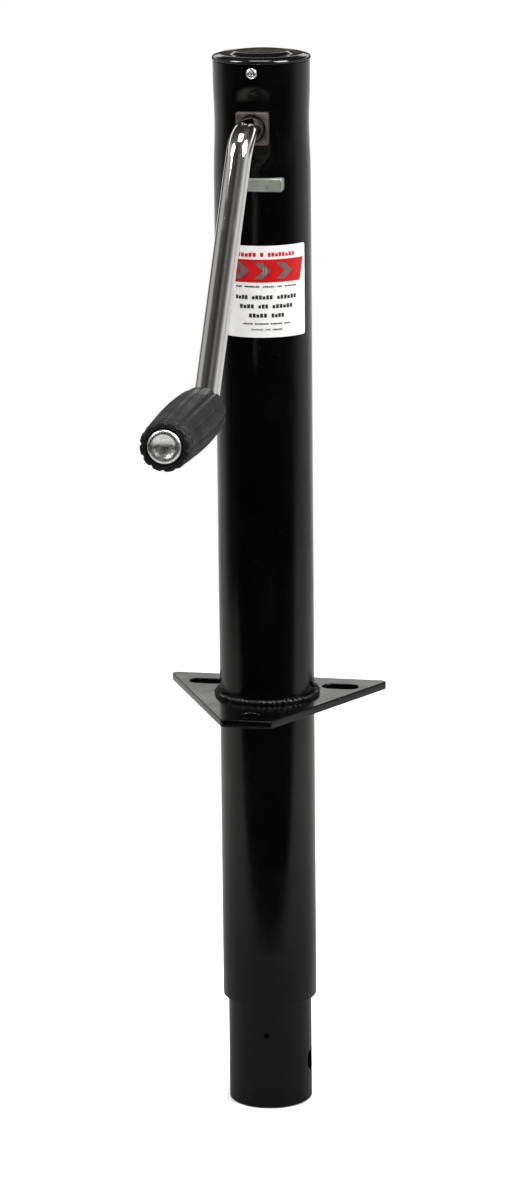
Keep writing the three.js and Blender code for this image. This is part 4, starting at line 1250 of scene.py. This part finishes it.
def studio_world():
    """White to the sides and behind near the horizon, a dim warm room above, dark in front."""
    world = bpy.data.worlds.new("studio")
    world.use_nodes = True
    bpy.context.scene.world = world
    sky = Patterns(world.node_tree)
    background = next(n for n in sky.tree.nodes if n.type == "BACKGROUND")
    direction = sky.node("ShaderNodeTexCoord").outputs["Generated"]
    parts = sky.node("ShaderNodeSeparateXYZ", Vector=direction).outputs
    x, y, z = (sky.spread(parts[axis], -1, 1, 0, 1) for axis in "XYZ")
    sweep = sky.ramp(
        y,
        (0.34, (0.004, 0.004, 0.004)),
        (0.42, (0.05, 0.052, 0.05)),
        (0.52, (0.22, 0.22, 0.215)),
        (0.62, (0.62, 0.62, 0.61)),
        (0.75, (0.80, 0.80, 0.80)),
        (0.92, (0.85, 0.85, 0.85)),
    )
    room_across = sky.ramp(
        x,
        (0.03, (0.50, 0.50, 0.49)),
        (0.06, (0.42, 0.42, 0.41)),
        (0.11, (0.10, 0.097, 0.09)),
        (0.30, (0.075, 0.07, 0.065)),
        (0.42, (0.045, 0.04, 0.038)),
        (0.52, (0.05, 0.046, 0.042)),
        (0.60, (0.12, 0.115, 0.11)),
        (0.70, (0.20, 0.195, 0.185)),
        (0.80, (0.10, 0.095, 0.09)),
        (0.90, (0.12, 0.115, 0.11)),
        (0.96, (0.34, 0.34, 0.33)),
        (0.99, (0.75, 0.75, 0.74)),
    )
    behind = sky.ramp(
        z,
        (0.585, (0.045, 0.034, 0.024)),
        (0.605, (1.35, 1.35, 1.33)),
        (0.67, (1.35, 1.35, 1.33)),
        (0.70, (0.03, 0.026, 0.02)),
    )
    room = sky.mixed(sky.ramp(y, (0.55, (0, 0, 0)), (0.8, (1, 1, 1))), room_across, behind)
    above = sky.ramp(z, (0.465, (0, 0, 0)), (0.495, (1, 1, 1)))
    underfoot = sky.ramp(z, (0.2, (1, 1, 1)), (0.33, (0, 0, 0)))
    low = sky.mixed(underfoot, sweep, (0.9, 0.88, 0.84, 1))
    seen = sky.mixed(above, low, room)
    camera_ray = sky.node("ShaderNodeLightPath").outputs["Is Camera Ray"]
    sky.feed(background.inputs["Color"], sky.mixed(camera_ray, seen, (1, 1, 1, 1)))


def camera():
    """The photograph's view: a long lens, right of the crank and a little above."""
    distance, height = 2.6124, 0.71265
    heading = CAMERA_AZIMUTH + math.radians(0.17)
    pitch = math.radians(13.98)
    roll = math.radians(-0.59)
    level_look = Vector((-math.sin(heading), math.cos(heading), 0))
    look = level_look * math.cos(pitch) - Vector((0, 0, math.sin(pitch)))
    right = Vector((math.cos(heading), math.sin(heading), 0))
    up = right.cross(look)
    level_right = right * math.cos(roll) + up * math.sin(roll)
    level_up = up * math.cos(roll) - right * math.sin(roll)
    data = bpy.data.cameras.new("camera")
    data.sensor_fit = "VERTICAL"
    data.sensor_height = 36
    data.lens = 134.19
    eye = bpy.data.objects.new("camera", data)
    bpy.context.scene.collection.objects.link(eye)
    turned = Matrix((level_right, level_up, -look)).transposed().to_4x4()
    stand = Vector((distance * math.sin(CAMERA_AZIMUTH), -distance * math.cos(CAMERA_AZIMUTH), height))
    eye.matrix_world = Matrix.Translation(stand) @ turned
    bpy.context.scene.camera = eye


camera()
outer_tube()
top_cap()
cap_rivet()
flange_plate()
flange_weld()
support_bar()
crank_bushing("crank_bushing_front", -1, "front_bushing")
crank_bushing("crank_bushing_rear", 1, "rear_bushing")
label()
crank_rod()
grip()
grip_cap()
inner_tube()
lead_screw()
lead_nut()
thrust_bearing()
gears()
cross_pin("gear_pin", "wheel_pin", "screw")
cross_pin("stop_pin", "end_pin", "screw")
cross_pin("nut_pin_left", "nut_pin_a", "ram")
cross_pin("nut_pin_right", "nut_pin_b", "ram")
cross_pin("pinion_pin", "crank_pin", "crank", 0.3, CRANK_PLACE)
washer("gear_washer", "wheel_washer", "screw", 8.3, ZINC)
washer("stop_washer", "end_washer", "screw", 7.9, ZINC)

floor()
studio_world()
soft_light("left_softbox", -58, 42, 2.0, (0.7, 0.8), 27)
soft_light("right_softbox", 65, 42, 1.8, (0.8, 0.9), 40)
soft_light("top_softbox", 0, 82, 1.9, (0.8, 0.6), 16)
soft_light("front_fill", 8, 35, 2.2, (1.2, 1.0), 7, False)
soft_light("overhead", 180, 68, 2.2, (3.0, 3.0), 75, False)
bpy.context.scene.view_settings.view_transform = "Standard"
bpy.context.scene.view_settings.look = "None"
